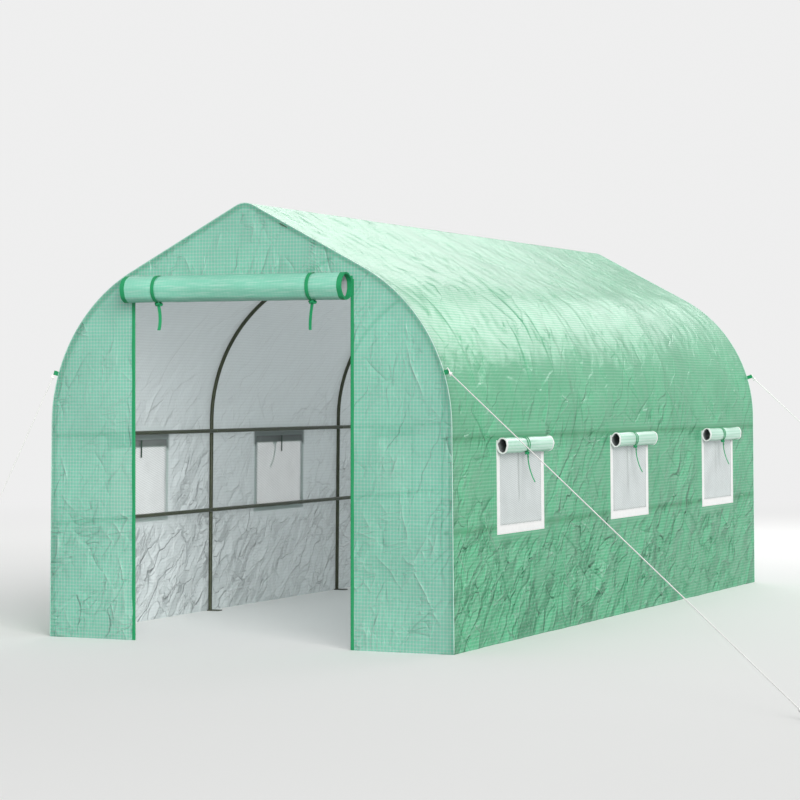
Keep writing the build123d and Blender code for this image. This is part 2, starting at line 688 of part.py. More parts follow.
def guy_corners():
    """Each guy line: its name, whether at the front, whether on the left, its peg as placed on the right."""
    wide = HALF_WIDTH + PEG_REACH_WIDE
    ahead = HALF_LENGTH + PEG_REACH_AHEAD
    return [
        ("guy_rope_front_right", True, False, Vector(wide, -ahead, 0)),
        ("guy_rope_front_left", True, True, Vector(HALF_WIDTH + PEG_REACH_FRONT_LEFT, FRONT, 0)),
        ("guy_rope_rear_right", False, False, Vector(HALF_WIDTH + PEG_REACH_REAR_RIGHT, HALF_LENGTH, 0)),
        ("guy_rope_rear_left", False, True, Vector(wide, ahead, 0)),
    ]


def make_guys():
    """The tabs, the pegs and the four guy lines."""
    tabs = []
    pegs = []
    ropes = {}
    tab_x = shoulder_point(0, GUY_HEIGHT)[0].X
    for name, front, on_left, peg in guy_corners():
        turned = mirrored if on_left else (lambda shape: shape)
        tab_place = Vector(tab_x, FRONT if front else HALF_LENGTH, 0)
        tabs.append(turned(make_tab(front)))
        pegs.append(turned(make_peg(peg, tab_place)))
        ropes[name] = turned(make_guy_rope(front, peg))
    return tabs, pegs, ropes


def build():
    """All the pieces, by name."""
    leg = make_leg()
    bow = make_bow()
    rafter = make_rafter()
    upper_rail = make_rail(UPPER_RAIL_HEIGHT)
    lower_rail = make_rail(LOWER_RAIL_HEIGHT)
    wall = make_wall_cover()
    shoulder = make_shoulder_cover()
    roof = make_roof_cover()
    door_roll, door_roll_bindings = make_door_flap()
    frames = on_wall(make_window_frame())
    nets = on_wall(make_window_net())
    rolls = on_wall(make_window_roll())
    ties = on_wall(make_window_tie())
    tabs, pegs, ropes = make_guys()
    pieces = {
        "foot_plates": make_foot_plates(),
        "left_legs": at_hoops(mirrored(leg)),
        "right_legs": at_hoops(leg),
        "left_bows": at_hoops(mirrored(bow)),
        "right_bows": at_hoops(bow),
        "left_rafters": at_hoops(mirrored(rafter)),
        "right_rafters": at_hoops(rafter),
        "ridge_elbows": make_ridge_elbows(),
        "ridge_bars": make_ridge_bars(),
        "left_upper_rail": [mirrored(tube) for tube in upper_rail],
        "right_upper_rail": upper_rail,
        "left_lower_rail": [mirrored(tube) for tube in lower_rail],
        "right_lower_rail": lower_rail,
        "left_wall_cover": [mirrored(wall)],
        "right_wall_cover": [wall],
        "left_shoulder_cover": [mirrored(shoulder)],
        "right_shoulder_cover": [shoulder],
        "left_roof_cover": [mirrored(roof)],
        "right_roof_cover": [roof],
        "rear_panel": [make_end_panel(HALF_LENGTH - COVER_THICKNESS)],
        "door_bindings": make_door_bindings(),
        "door_roll": [door_roll],
        "door_roll_bindings": door_roll_bindings,
        "door_straps": make_door_straps(),
        "left_window_frames": [mirrored(frame) for frame in frames],
        "right_window_frames": frames,
        "left_window_nets": [mirrored(net) for net in nets],
        "right_window_nets": nets,
        "left_window_rolls": [mirrored(roll) for roll in rolls],
        "right_window_rolls": rolls,
        "left_window_ties": [mirrored(tie) for tie in ties],
        "right_window_ties": ties,
        "guy_tabs": tabs,
        "ground_pegs": pegs,
    }
    pieces.update({name: [panel] for name, panel in make_front_panels().items()})
    pieces.update({name: [rope] for name, rope in ropes.items()})
    return pieces


def save(pieces):
    """One file for each named piece."""
    os.makedirs("parts", exist_ok=True)
    for name, shapes in pieces.items():
        solids = [solid for shape in shapes for solid in shape.solids()]
        export_step(Compound(children=solids) if len(solids) > 1 else solids[0], f"parts/{name}.step")


save(build())
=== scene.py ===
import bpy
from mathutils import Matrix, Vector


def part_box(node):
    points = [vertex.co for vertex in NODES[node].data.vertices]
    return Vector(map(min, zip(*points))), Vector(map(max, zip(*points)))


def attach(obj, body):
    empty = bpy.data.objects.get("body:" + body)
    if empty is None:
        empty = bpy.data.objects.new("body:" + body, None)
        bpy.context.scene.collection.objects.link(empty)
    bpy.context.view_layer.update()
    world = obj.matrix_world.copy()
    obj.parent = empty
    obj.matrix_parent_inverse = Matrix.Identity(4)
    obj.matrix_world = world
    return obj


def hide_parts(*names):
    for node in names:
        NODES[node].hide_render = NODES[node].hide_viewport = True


bl_info = {
    "name": "Polytunnel greenhouse",
    "version": (1, 0, 0),
    "blender": (4, 5, 0),
    "location": "3D View > Sidebar > Polytunnel",
    "description": "Dresses the frame of a polytunnel greenhouse with cloth, webbing, rope and steel",
    "category": "Add Mesh",
}

from math import cos, hypot, pi, radians, sin, tan

import bmesh
import bpy
import numpy as np
from mathutils import Matrix, Vector

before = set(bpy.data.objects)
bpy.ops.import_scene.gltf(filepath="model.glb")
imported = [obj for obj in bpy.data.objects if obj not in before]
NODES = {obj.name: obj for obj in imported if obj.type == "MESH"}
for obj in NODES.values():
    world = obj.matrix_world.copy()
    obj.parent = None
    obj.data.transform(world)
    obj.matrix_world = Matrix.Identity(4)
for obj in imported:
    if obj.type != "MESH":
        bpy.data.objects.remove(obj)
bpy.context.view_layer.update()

# The shape of a hoop on the outside of the cover, in metres and as the frame has it
HALF_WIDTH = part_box("rear_panel")[1][0]
HALF_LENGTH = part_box("rear_panel")[1][1]
RIDGE_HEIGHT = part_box("rear_panel")[1][2]
WALL_LEAN = radians(0.6)
ROOF_PITCH = radians(28.0)
SHOULDER_RADIUS = 0.39 * 2 * HALF_WIDTH
RIDGE_RADIUS = 0.09
FRONT = -HALF_LENGTH
TUBE_RADIUS = 0.0095
TUBE_INSET = 0.0118
HOOP_PITCH = 2 * (HALF_LENGTH - TUBE_INSET) / 3
HOOPS = [TUBE_INSET - HALF_LENGTH + i * HOOP_PITCH for i in range(4)]
SHOULDER_TURN = pi / 2 - ROOF_PITCH - WALL_LEAN
ROOF_LINE = RIDGE_HEIGHT - RIDGE_RADIUS + RIDGE_RADIUS / cos(ROOF_PITCH)
LEG_UP = Vector((-sin(WALL_LEAN), 0, cos(WALL_LEAN)))
LEG_OUT = Vector((cos(WALL_LEAN), 0, sin(WALL_LEAN)))
ROOF_UP = Vector((-cos(ROOF_PITCH), 0, sin(ROOF_PITCH)))
ALONG = Vector((0, 1, 0))
UP = Vector((0, 0, 1))

# Joints of the steel tubes: the narrow end's share of the radius and its length, and where the parts meet
NECK = 0.90
SWAGE = 0.034
LEG_FOOT = 0.0042
LEG_JOINT = 0.860
BOW_REACH = 0.060
ELBOW_ARM = 0.110
JOINT_GAP = 0.0004
CLEARANCE = 0.0003
RAIL_SHORT = 0.0023

# Doorway, windows and seams
DOOR_LOW, DOOR_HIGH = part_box("door_bindings")
BINDING = 0.016
DOOR_LEFT = DOOR_LOW[0] + BINDING
DOOR_RIGHT = DOOR_HIGH[0] - BINDING
DOOR_TOP = 1.6
RAIL_HEIGHTS = (0.9151, 0.5141)
WINDOWS = [(-1.749, -1.171), (-0.249, 0.329), (1.251, 1.829)]
WINDOW_LOW, WINDOW_HIGH = 0.482, 0.900
WINDOW_HALF = (WINDOWS[0][1] - WINDOWS[0][0]) / 2
WINDOW_CENTRES = [(low + high) / 2 for low, high in WINDOWS]
TAPE = 0.036
TAPE_THICKNESS = 0.0011
NET_EDGE = 0.026
SEAM = 0.0015

# How far a roll rises over its window, between which runs it shows through the cloth, how far off a window
# the cloth is calm, and how high the hem is that stays flat on the ground
ROLL_RISE = 0.02
ROLL_BAND = (0.838, 0.912)
CALM_REACH = 0.07
HEM = 0.03

# A strap round a roll: how far it stands off, and the least distance from the wall
STRAP_OFF = 0.0006
STRAP_LEAST = 0.0012


# Settings

class TunnelSizes(bpy.types.PropertyGroup):
    """Sizes that change how the cloth and the rope look."""
    cell: bpy.props.FloatProperty(
        name="Cloth cell", description="Side of a cell in the cover's mesh", default=0.0112, unit="LENGTH")
    weave_pitch: bpy.props.FloatProperty(
        name="Weave pitch", description="Distance between two ripstop threads", default=0.0155, unit="LENGTH")
    sag: bpy.props.FloatProperty(
        name="Sag", description="How far the cover dips between two hoops", default=0.007, unit="LENGTH")
    crease_height: bpy.props.FloatProperty(
        name="Crease height", description="Height of the packing creases", default=0.0062, unit="LENGTH")
    tube_sides: bpy.props.IntProperty(
        name="Tube sides", description="Number of faces round a steel tube", default=20, min=8, max=48)
    rope_twist: bpy.props.FloatProperty(
        name="Rope twist", description="Length of one turn of a rope's strands", default=0.026, unit="LENGTH")


def colour_property(name, description, value):
    """A colour that the user can change."""
    return bpy.props.FloatVectorProperty(
        name=name, description=description, subtype="COLOR", size=3, min=0, max=1, default=value)


class TunnelColours(bpy.types.PropertyGroup):
    """Colours of the cloth, webbing, rope and steel."""
    cloth: colour_property("Cloth", "Green of the cover between its threads", (0.106, 0.492, 0.256))
    thread: colour_property("Thread", "Pale ripstop threads of the cover", (0.240, 0.565, 0.375))
    end_cloth: colour_property("End cloth", "Green of the end panels", (0.178, 0.625, 0.438))
    end_thread: colour_property("End thread", "Pale threads of the end panels", (0.430, 0.635, 0.555))
    inner: colour_property("Inner face", "Inside of the cover", (0.70, 0.76, 0.77))
    flap: colour_property("Rolled flap", "Pale green of the rolled flaps", (0.21, 0.60, 0.44))
    window_flap: colour_property("Window flap", "Paler green of the window flaps", (0.60, 0.84, 0.73))
    flap_thread: colour_property("Rolled flap thread", "Pale threads of the rolled flaps", (0.26, 0.62, 0.48))
    webbing: colour_property("Webbing", "Dark green tapes, straps and ties", (0.006, 0.290, 0.105))
    tape: colour_property("White tape", "Tape round the windows", (0.90, 0.91, 0.91))
    net: colour_property("Net", "Insect net of the windows", (0.58, 0.62, 0.62))
    steel: colour_property("Steel", "Paint of the tubes", (0.035, 0.042, 0.022))
    rope: colour_property("Rope", "White guy line", (0.90, 0.90, 0.88))
    floor: colour_property("Floor", "Plain studio floor", (0.90, 0.90, 0.89))


class TunnelSettings(bpy.types.PropertyGroup):
    """All the settings of the tunnel."""
    sizes: bpy.props.PointerProperty(type=TunnelSizes)
    colours: bpy.props.PointerProperty(type=TunnelColours)


# The hoop's outline

def hoop_corner(inset):
    """Where the straight leg and the straight roof would cross, this far inside the outside of the cover."""
    leg_x = HALF_WIDTH - inset / cos(WALL_LEAN)
    roof_z = ROOF_LINE - inset / cos(ROOF_PITCH)
    x = (leg_x - roof_z * tan(WALL_LEAN)) / (1 - tan(WALL_LEAN) * tan(ROOF_PITCH))
    return Vector((x, 0, roof_z - x * tan(ROOF_PITCH)))


def shoulder_ends(inset):
    """The two points where the shoulder's arc meets the leg and the roof."""
    reach = (SHOULDER_RADIUS - inset) * tan(SHOULDER_TURN / 2)
    corner = hoop_corner(inset)
    return corner - LEG_UP * reach, corner + ROOF_UP * reach


def leg_point(inset, height):
    """A point on the leg's line at a height."""
    return Vector((HALF_WIDTH - inset / cos(WALL_LEAN) - height * tan(WALL_LEAN), 0, height))


def ridge_start(inset):
    """The point where the straight roof meets the small arc over the ridge."""
    radius = RIDGE_RADIUS - inset
    return Vector((radius * sin(ROOF_PITCH), 0, RIDGE_HEIGHT - RIDGE_RADIUS + radius * cos(ROOF_PITCH)))


SHOULDER_LOW, SHOULDER_HIGH = shoulder_ends(0)
SHOULDER_CENTRE = SHOULDER_LOW - LEG_OUT * SHOULDER_RADIUS
WALL_RUN = (SHOULDER_LOW - leg_point(0, 0)).length
SHOULDER_RUN = SHOULDER_RADIUS * SHOULDER_TURN
ROOF_RUN = (ridge_start(0) - SHOULDER_HIGH).length
CREST_RUN = RIDGE_RADIUS * ROOF_PITCH
HALF_RUN = WALL_RUN + SHOULDER_RUN + ROOF_RUN + CREST_RUN


def outline(run):
    """Points and outward directions of the right half of the outline, at lengths from the hem (arrays)."""
    run = np.asarray(run, float)
    foot = leg_point(0, 0)
    x = foot.x + LEG_UP.x * run
    z = LEG_UP.z * run
    nx = np.full_like(run, LEG_OUT.x)
    nz = np.full_like(run, LEG_OUT.z)
    turn = WALL_LEAN + (run - WALL_RUN) / SHOULDER_RADIUS
    on = run > WALL_RUN
    x = np.where(on, SHOULDER_CENTRE.x + SHOULDER_RADIUS * np.cos(turn), x)
    z = np.where(on, SHOULDER_CENTRE.z + SHOULDER_RADIUS * np.sin(turn), z)
    nx = np.where(on, np.cos(turn), nx)
    nz = np.where(on, np.sin(turn), nz)
    along = run - WALL_RUN - SHOULDER_RUN
    on = along > 0
    x = np.where(on, SHOULDER_HIGH.x + ROOF_UP.x * along, x)
    z = np.where(on, SHOULDER_HIGH.z + ROOF_UP.z * along, z)
    nx = np.where(on, sin(ROOF_PITCH), nx)
    nz = np.where(on, cos(ROOF_PITCH), nz)
    turn = ROOF_PITCH - (along - ROOF_RUN) / RIDGE_RADIUS
    on = along > ROOF_RUN
    x = np.where(on, RIDGE_RADIUS * np.sin(turn), x)
    z = np.where(on, RIDGE_HEIGHT - RIDGE_RADIUS + RIDGE_RADIUS * np.cos(turn), z)
    nx = np.where(on, np.sin(turn), nx)
    nz = np.where(on, np.cos(turn), nz)
    return x, z, nx, nz


OUTLINE_RUNS = np.linspace(0, HALF_RUN, 2000)
OUTLINE_X, OUTLINE_Z = outline(OUTLINE_RUNS)[:2]


def half_width_at(height):
    """Half the width of the outline at a height, an array or a number."""
    return np.interp(height, OUTLINE_Z, OUTLINE_X)


def run_at(height):
    """The length along the outline from the hem to a height."""
    return np.interp(height, OUTLINE_Z, OUTLINE_RUNS)


# Cloth relief

def ripples(a, b, scale, count, seed):
    """Smooth random waves of about this length over two coordinates, about one tall."""
    rng = np.random.default_rng(seed)
    total = np.zeros_like(a)
    for _ in range(count):
        turn = rng.uniform(0, 2 * pi)
        size = scale * rng.uniform(0.7, 1.4)
        shift = rng.uniform(0, 2 * pi)
        total += np.sin((a * cos(turn) + b * sin(turn)) * 2 * pi / size + shift)
    return total * (2 / count) ** 0.5


def around(a, b, mark, reach):
    """The points near a crease mark, and how far along it and off it each of them lies."""
    middle_a, middle_b, turn = mark[:3]
    near = np.nonzero((np.abs(a - middle_a) < reach) & (np.abs(b - middle_b) < reach))
    da, db = a[near] - middle_a, b[near] - middle_b
    return near, da * cos(turn) + db * sin(turn), db * cos(turn) - da * sin(turn)


def add_creases(relief, a, b, marks, softness=0.004):
    """Adds sharp folds: each mark has a middle, a direction, a length, a width, a height and a lean."""
    for mark in marks:
        length, width, height, lean = mark[3:]
        near, along, off = around(a, b, mark, length / 2 + 4 * width)
        taper = np.clip(1 - (2 * along / length) ** 2, 0, 1)
        ridge = np.exp(-np.sqrt(off ** 2 + softness ** 2) / width)
        relief[near] += height * taper * ridge * (1 - lean + lean * off / width)


def crease_lines(a, b, marks, reach=0.040):
    """For each point the signed distance to its strongest crease, and how strong that crease is there."""
    off_line = np.full(a.shape, reach)
    strength = np.zeros(a.shape)
    for mark in marks:
        length, height = mark[3], mark[5]
        near, along, off = around(a, b, mark, length / 2 + reach)
        taper = np.clip(1 - (2 * along / length) ** 2, 0, 1) ** 0.6
        size = height * taper * np.clip(1 - np.abs(off) / reach, 0, 1)
        wins = np.abs(size) > np.abs(strength[near])
        where = tuple(index[wins] for index in near)
        strength[where] = size[wins]
        off_line[where] = off[wins]
    return off_line, strength


def creased(a, b, marks, seed, sway=0.005, scale=0.21):
    """The relief of crease marks, with each point's distance to its strongest crease and how strong that is.

    The two coordinates are waved a little first, so that creases laid out on them aren't straight."""
    a, b = a + sway * ripples(a, b, scale, 7, seed), b + sway * ripples(a, b, scale, 7, seed + 1)
    relief = np.zeros_like(a)
    add_creases(relief, a, b, marks)
    return relief, *crease_lines(a, b, marks)


def crease_marks(seed, whole, rows):
    """Random crease marks, from a table with a row for each kind. Some fork into a V.

    A row has how many there are, where their middles lie on the two coordinates, their length, their height
    as a share of the whole height, their turn, the share of them that fork, and their width."""
    rng = np.random.default_rng(seed)
    marks = []
    for count, spread_a, spread_b, lengths, shares, turns, forks, widths in rows:
        for _ in range(count):
            a = rng.uniform(*spread_a)
            b = rng.uniform(*spread_b)
            length = rng.uniform(*lengths)
            turn = rng.uniform(*turns) * rng.choice((-1, 1), p=(0.25, 0.75))
            height = rng.uniform(shares[0] * whole, shares[1] * whole) * rng.choice((-1, 1))
            width = rng.uniform(*widths)
            lean = rng.uniform(0, 0.8)
            marks.append((a, b, turn, length, width, height, lean))
            if rng.random() < forks:
                other = turn + rng.uniform(0.5, 1.1) * rng.choice((-1, 1))
                size = length * rng.uniform(0.5, 0.9)
                joint_a = a + cos(turn) * length / 2 - cos(other) * size / 2
                joint_b = b + sin(turn) * length / 2 - sin(other) * size / 2
                marks.append((joint_a, joint_b, other, size, width, height, lean))
    return marks


# Making meshes

# The angle in degrees past which an edge is sharp
SHARP_EDGE = 50


def deselect():
    """Nothing selected and nothing active."""
    if bpy.context.object and bpy.context.object.mode != "OBJECT":
        bpy.ops.object.mode_set(mode="OBJECT")
    bpy.ops.object.select_all(action="DESELECT")
    bpy.context.view_layer.objects.active = None


def select_only(*objects):
    """These objects selected, and the first of them active."""
    deselect()
    for obj in objects:
        obj.select_set(True)
    bpy.context.view_layer.objects.active = objects[0]


def new_object(name, points, faces):
    """A new smooth object from arrays of points and faces."""
    mesh = bpy.data.meshes.new(name)
    mesh.from_pydata([tuple(map(float, p)) for p in points], [], [tuple(map(int, f)) for f in faces])
    mesh.update()
    mesh.polygons.foreach_set("use_smooth", [True] * len(mesh.polygons))
    obj = bpy.data.objects.new(name, mesh)
    bpy.context.scene.collection.objects.link(obj)
    return obj


def grid_faces(rows, columns, keep=None, flip=False):
    """Four-sided faces over a grid of points, those that keep says."""
    r, c = np.meshgrid(np.arange(rows - 1), np.arange(columns - 1), indexing="ij")
    first = (r * columns + c).ravel()
    faces = np.stack([first, first + 1, first + columns + 1, first + columns], axis=1)
    if flip:
        faces = faces[:, ::-1]
    return faces if keep is None else faces[keep.ravel()]


def chain_faces(sections, corners):
    """Faces of a closed tube: this many sections along it, each with so many corners, and its two ends."""
    faces = [(a, b, b + corners, a + corners)
             for i in range(sections - 1)
             for a, b in ((i * corners + k, i * corners + (k + 1) % corners) for k in range(corners))]
    last = (sections - 1) * corners
    return faces + [tuple(reversed(range(corners))), tuple(range(last, last + corners))]


def directions_along(path):
    """The direction of a chain of points at each of them."""
    last = len(path) - 1
    return [(path[min(i + 1, last)] - path[max(i - 1, 0)]).normalized() for i in range(len(path))]


def set_uv(obj, uv):
    """Gives each corner the flat place of its point, in metres."""
    layer = obj.data.uv_layers.new(name="flat")
    corner_points = np.empty(len(obj.data.loops), int)
    obj.data.loops.foreach_get("vertex_index", corner_points)
    layer.data.foreach_set("uv", np.asarray(uv, np.float32).reshape(-1, 2)[corner_points].ravel())


def set_values(obj, **values):
    """Numbers for each point, that the material reads by their names."""
    for name, numbers in values.items():
        layer = obj.data.attributes.new(name=name, type="FLOAT", domain="POINT")
        layer.data.foreach_set("value", np.asarray(numbers, np.float32).ravel())


def spaced(stops, step):
    """Places from the first stop to the last, through every stop, about a step apart."""
    places = [stops[0]]
    for low, high in zip(stops, stops[1:]):
        count = max(1, round((high - low) / step))
        places += [low + (high - low) * (i + 1) / count for i in range(count)]
    return np.array(places)


def drop_loose(obj):
    """Takes away the points that no face uses."""
    mesh = bmesh.new()
    mesh.from_mesh(obj.data)
    bmesh.ops.delete(mesh, geom=[v for v in mesh.verts if not v.link_faces], context="VERTS")
    mesh.to_mesh(obj.data)
    mesh.free()


def finish_piece(obj, material, slot_name, *nodes):
    """Material, body and the nodes that the piece stands for; slot_name is not used."""
    obj.data.materials.clear()
    obj.data.materials.append(MATERIALS[material])
    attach(obj, "root")
    if nodes:
        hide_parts(*nodes)


def join(objects, name):
    """One object from several."""
    select_only(*objects)
    if len(objects) > 1:
        bpy.ops.object.join()
    joined = bpy.context.object
    joined.name = name
    joined.data.name = name
    deselect()
    return joined


def copy_of(obj, matrix):
    """A copy with its own mesh, moved by a matrix that goes into the mesh."""
    copy = obj.copy()
    copy.data = obj.data.copy()
    copy.data.transform(matrix)
    if matrix.determinant() < 0:
        copy.data.flip_normals()
    bpy.context.scene.collection.objects.link(copy)
    return copy


def moved(obj, matrix):
    """A copy moved by a matrix, in place of the object itself."""
    copy = copy_of(obj, matrix)
    bpy.data.objects.remove(obj)
    return copy


def smooth_to(obj, angle):
    """Smooth shading, with sharp edges past an angle in degrees."""
    select_only(obj)
    bpy.ops.object.shade_smooth_by_angle(angle=radians(angle))
    deselect()


def apply_modifier(obj, kind, **settings):
    """Adds a modifier with its settings and applies it."""
    select_only(obj)
    modifier = obj.modifiers.new(kind.lower(), kind)
    for name, value in settings.items():
        setattr(modifier, name, value)
    bpy.ops.object.modifier_apply(modifier=modifier.name)


def thicken(obj, thickness):
    """Gives a sheet its thickness, half on each side."""
    apply_modifier(obj, "SOLIDIFY", thickness=thickness, offset=0.0)
    smooth_to(obj, SHARP_EDGE)


def soften(obj, width, segments):
    """Rounds the edges of a piece and shades it smooth."""
    apply_modifier(obj, "BEVEL", width=width, segments=segments, limit_method="ANGLE",
                   angle_limit=radians(SHARP_EDGE))
    smooth_to(obj, 40)


MIRROR = Matrix.Scale(-1, 4, (1, 0, 0))


def along_tunnel(place):
    """A move along the tunnel."""
    return Matrix.Translation((0, place, 0))


# Tubes, made as by hand

def start_tube(place, direction, radius, sides):
    """A ring of points round the start of a tube, in edit mode."""
    deselect()
    turn = direction.to_track_quat("Z", "Y").to_euler()
    bpy.ops.mesh.primitive_circle_add(vertices=sides, radius=radius, fill_type="NOTHING",
                                      location=place, rotation=turn)
    bpy.ops.object.transform_apply(location=True, rotation=True, scale=True)
    bpy.ops.object.mode_set(mode="EDIT")
    bpy.ops.mesh.select_all(action="SELECT")


def extend(step):
    """Draws the ring out along a step."""
    bpy.ops.mesh.extrude_region_move(TRANSFORM_OT_translate={"value": tuple(step)})


def add_neck(centre, step):
    """Draws the ring in to the narrow end that slips into the next tube, and out along a step."""
    extend((0, 0, 0))
    bpy.ops.transform.resize(value=(NECK, NECK, NECK), center_override=tuple(centre))
    extend(step)


def bend(centre, axis, angle, steps):
    """Turns the ring round a centre, as a pipe bender does."""
    bpy.ops.mesh.spin(steps=steps, angle=-angle, center=tuple(centre), axis=tuple(axis))


def end_tube(name):
    """Closes both ends and leaves edit mode with the faces pointing out."""
    bpy.ops.mesh.select_all(action="SELECT")
    bpy.ops.mesh.remove_doubles(threshold=0.00001)
    bpy.ops.mesh.select_all(action="DESELECT")
    bpy.ops.mesh.select_non_manifold()
    bpy.ops.mesh.fill_holes(sides=0)
    bpy.ops.mesh.select_all(action="SELECT")
    bpy.ops.mesh.normals_make_consistent(inside=False)
    bpy.ops.object.mode_set(mode="OBJECT")
    obj = bpy.context.object
    obj.name = name
    obj.data.name = name
    smooth_to(obj, SHARP_EDGE)
    return obj


def swept(name, path, radius, sides, shape=None):
    """A closed tube along points. shape gives the radius from the length along and the angle round.

    Its attribute "groove" says how far each point lies under the full radius; the rope's material paints
    shade there."""
    path = [Vector(p) for p in path]
    directions = directions_along(path)
    across = directions[0].orthogonal().normalized()
    points = []
    depths = []
    length = 0.0
    for i, (place, direction) in enumerate(zip(path, directions)):
        if i:
            length += (place - path[i - 1]).length
            across = (across - direction * across.dot(direction)).normalized()
        other = direction.cross(across)
        for k in range(sides):
            turn = 2 * pi * k / sides
            size = radius if shape is None else shape(length, turn)
            points.append(place + (across * cos(turn) + other * sin(turn)) * size)
            depths.append(1 - size / radius)
    obj = new_object(name, points, chain_faces(len(path), sides))
    set_values(obj, groove=depths)
    return obj


def ribbon(name, path, side, width, thickness):
    """A flat strap along points, side being the direction of its width."""
    path = [Vector(p) for p in path]
    side = Vector(side).normalized()
    edge = side * width / 2
    points = []
    for place, direction in zip(path, directions_along(path)):
        face = direction.cross(side).normalized() * thickness / 2
        points += [place + edge + face, place - edge + face, place - edge - face, place + edge - face]
    obj = new_object(name, points, chain_faces(len(path), 4))
    smooth_to(obj, SHARP_EDGE)
    return obj


# Node groups and materials

class Wiring:
    """A node tree and short ways to add to it. What goes into a node is a socket or a plain value."""

    def __init__(self, tree):
        self.tree = tree

    def feed(self, socket, value):
        """Links a socket to an input, or sets the input's plain value."""
        if isinstance(value, bpy.types.NodeSocket):
            self.tree.links.new(value, socket)
        elif socket.type == "RGBA" and len(value) == 3:
            socket.default_value = (*value, 1.0)
        else:
            socket.default_value = value

    def add(self, kind, inputs=None, **settings):
        """A node with its settings, and its inputs by name or number."""
        node = self.tree.nodes.new("ShaderNode" + kind)
        for name, value in settings.items():
            setattr(node, name, value)
        for name, value in (inputs or {}).items():
            self.feed(node.inputs[name], value)
        return node

    def maths(self, operation, *values, clamp=False):
        """One sum of up to three values."""
        return self.add("Math", dict(enumerate(values)), operation=operation, use_clamp=clamp).outputs[0]

    def times(self, first, second, clamp=False):
        """Two values multiplied."""
        return self.maths("MULTIPLY", first, second, clamp=clamp)

    def plus(self, first, second, clamp=False):
        """Two values added."""
        return self.maths("ADD", first, second, clamp=clamp)

    def vector(self, operation, *values):
        """One sum of up to three vectors."""
        node = self.add("VectorMath", dict(enumerate(values)), operation=operation)
        return node.outputs["Value" if operation in ("DOT_PRODUCT", "LENGTH") else "Vector"]

    def split(self, vector):
        """The three parts of a vector."""
        return self.add("SeparateXYZ", {0: vector}).outputs

    def mix(self, factor, first, second, mode="MIX"):
        """Two colours mixed."""
        return self.add("Mix", {0: factor, 6: first, 7: second}, data_type="RGBA", blend_type=mode).outputs[2]

    def spread(self, value, low, high, start=0.0, end=1.0, ease="LINEAR"):
        """A value from low to high drawn out from start to end, and held there past them."""
        return self.add("MapRange", {0: value, 1: low, 2: high, 3: start, 4: end},
                        interpolation_type=ease).outputs[0]

    def noise(self, place, scale, detail, rough=0.5):
        """Soft random patches: their outputs."""
        inputs = {"Vector": place, "Scale": scale, "Detail": detail, "Roughness": rough}
        return self.add("TexNoise", inputs).outputs

    def lines(self, value, pitch, width, softness):
        """1 on thin lines that repeat at the pitch, 0 between them."""
        phase = self.maths("FRACT", self.maths("DIVIDE", value, pitch))
        off = self.maths("ABSOLUTE", self.maths("SUBTRACT", phase, 0.5))
        return self.spread(off, width / 2 + softness, width / 2 - softness, ease="SMOOTHSTEP")

    def attribute(self, name):
        """A number that each point of the mesh carries."""
        return self.add("Attribute", attribute_name=name).outputs["Fac"]

    def flat(self):
        """The place on the piece's own flat map, in metres."""
        return self.add("UVMap", uv_map="flat").outputs[0]

    def place(self):
        """The place in the tunnel, in metres."""
        return self.add("TexCoord").outputs["Object"]

    def group(self, name, **inputs):
        """The outputs of a node group with its own inputs."""
        return self.add("Group", inputs, node_tree=bpy.data.node_groups[name]).outputs

    def bump(self, shader, height, strength, distance, before=None):
        """A bump that feeds the shader's normal, over another bump if one is given."""
        node = self.add("Bump", {"Strength": strength, "Distance": distance, "Height": height})
        if before is not None:
            self.feed(node.inputs["Normal"], before)
        self.feed(shader.inputs["Normal"], node.outputs[0])
        return node.outputs[0]

    def mix_shaders(self, factor, first, second, end="Material Output"):
        """Two shaders mixed into the surface of the tree's end."""
        mix = self.add("MixShader", {0: factor, 1: first.outputs[0], 2: second.outputs[0]})
        self.feed(self.tree.nodes[end].inputs["Surface"], mix.outputs[0])


def new_group(name, inputs, outputs):
    """A node group's wiring, what goes in and what comes out. An input is a vector if it has no value."""
    group = bpy.data.node_groups.new(name, "ShaderNodeTree")
    for label, value in inputs.items():
        kind = "NodeSocketVector" if value is None else "NodeSocketFloat"
        socket = group.interface.new_socket(label, in_out="INPUT", socket_type=kind)
        if value is not None:
            socket.default_value = value
    for label in outputs:
        group.interface.new_socket(label, in_out="OUTPUT", socket_type="NodeSocketFloat")
    return Wiring(group), group.nodes.new("NodeGroupInput").outputs, group.nodes.new("NodeGroupOutput").inputs


def ripstop_group():
    """Ripstop weave: a pale thread check over fine woven strands."""
    wire, given, made = new_group("Ripstop weave", {"Flat": None, "Pitch": 0.0155}, ("Thread", "Height"))
    split = wire.split(given["Flat"])
    fine = wire.times(given["Pitch"], 1 / 6)
    threads = [wire.lines(split[i], given["Pitch"], 0.34, 0.12) for i in (0, 1)]
    strands = [wire.lines(split[i], fine, 0.5, 0.25) for i in (0, 1)]
    check = wire.times(wire.plus(*threads), 0.5, clamp=True)
    woven = wire.times(wire.plus(*strands), 0.5)
    wire.feed(made["Thread"], check)
    wire.feed(made["Height"], wire.plus(wire.times(check, 0.7), wire.times(woven, 0.3)))


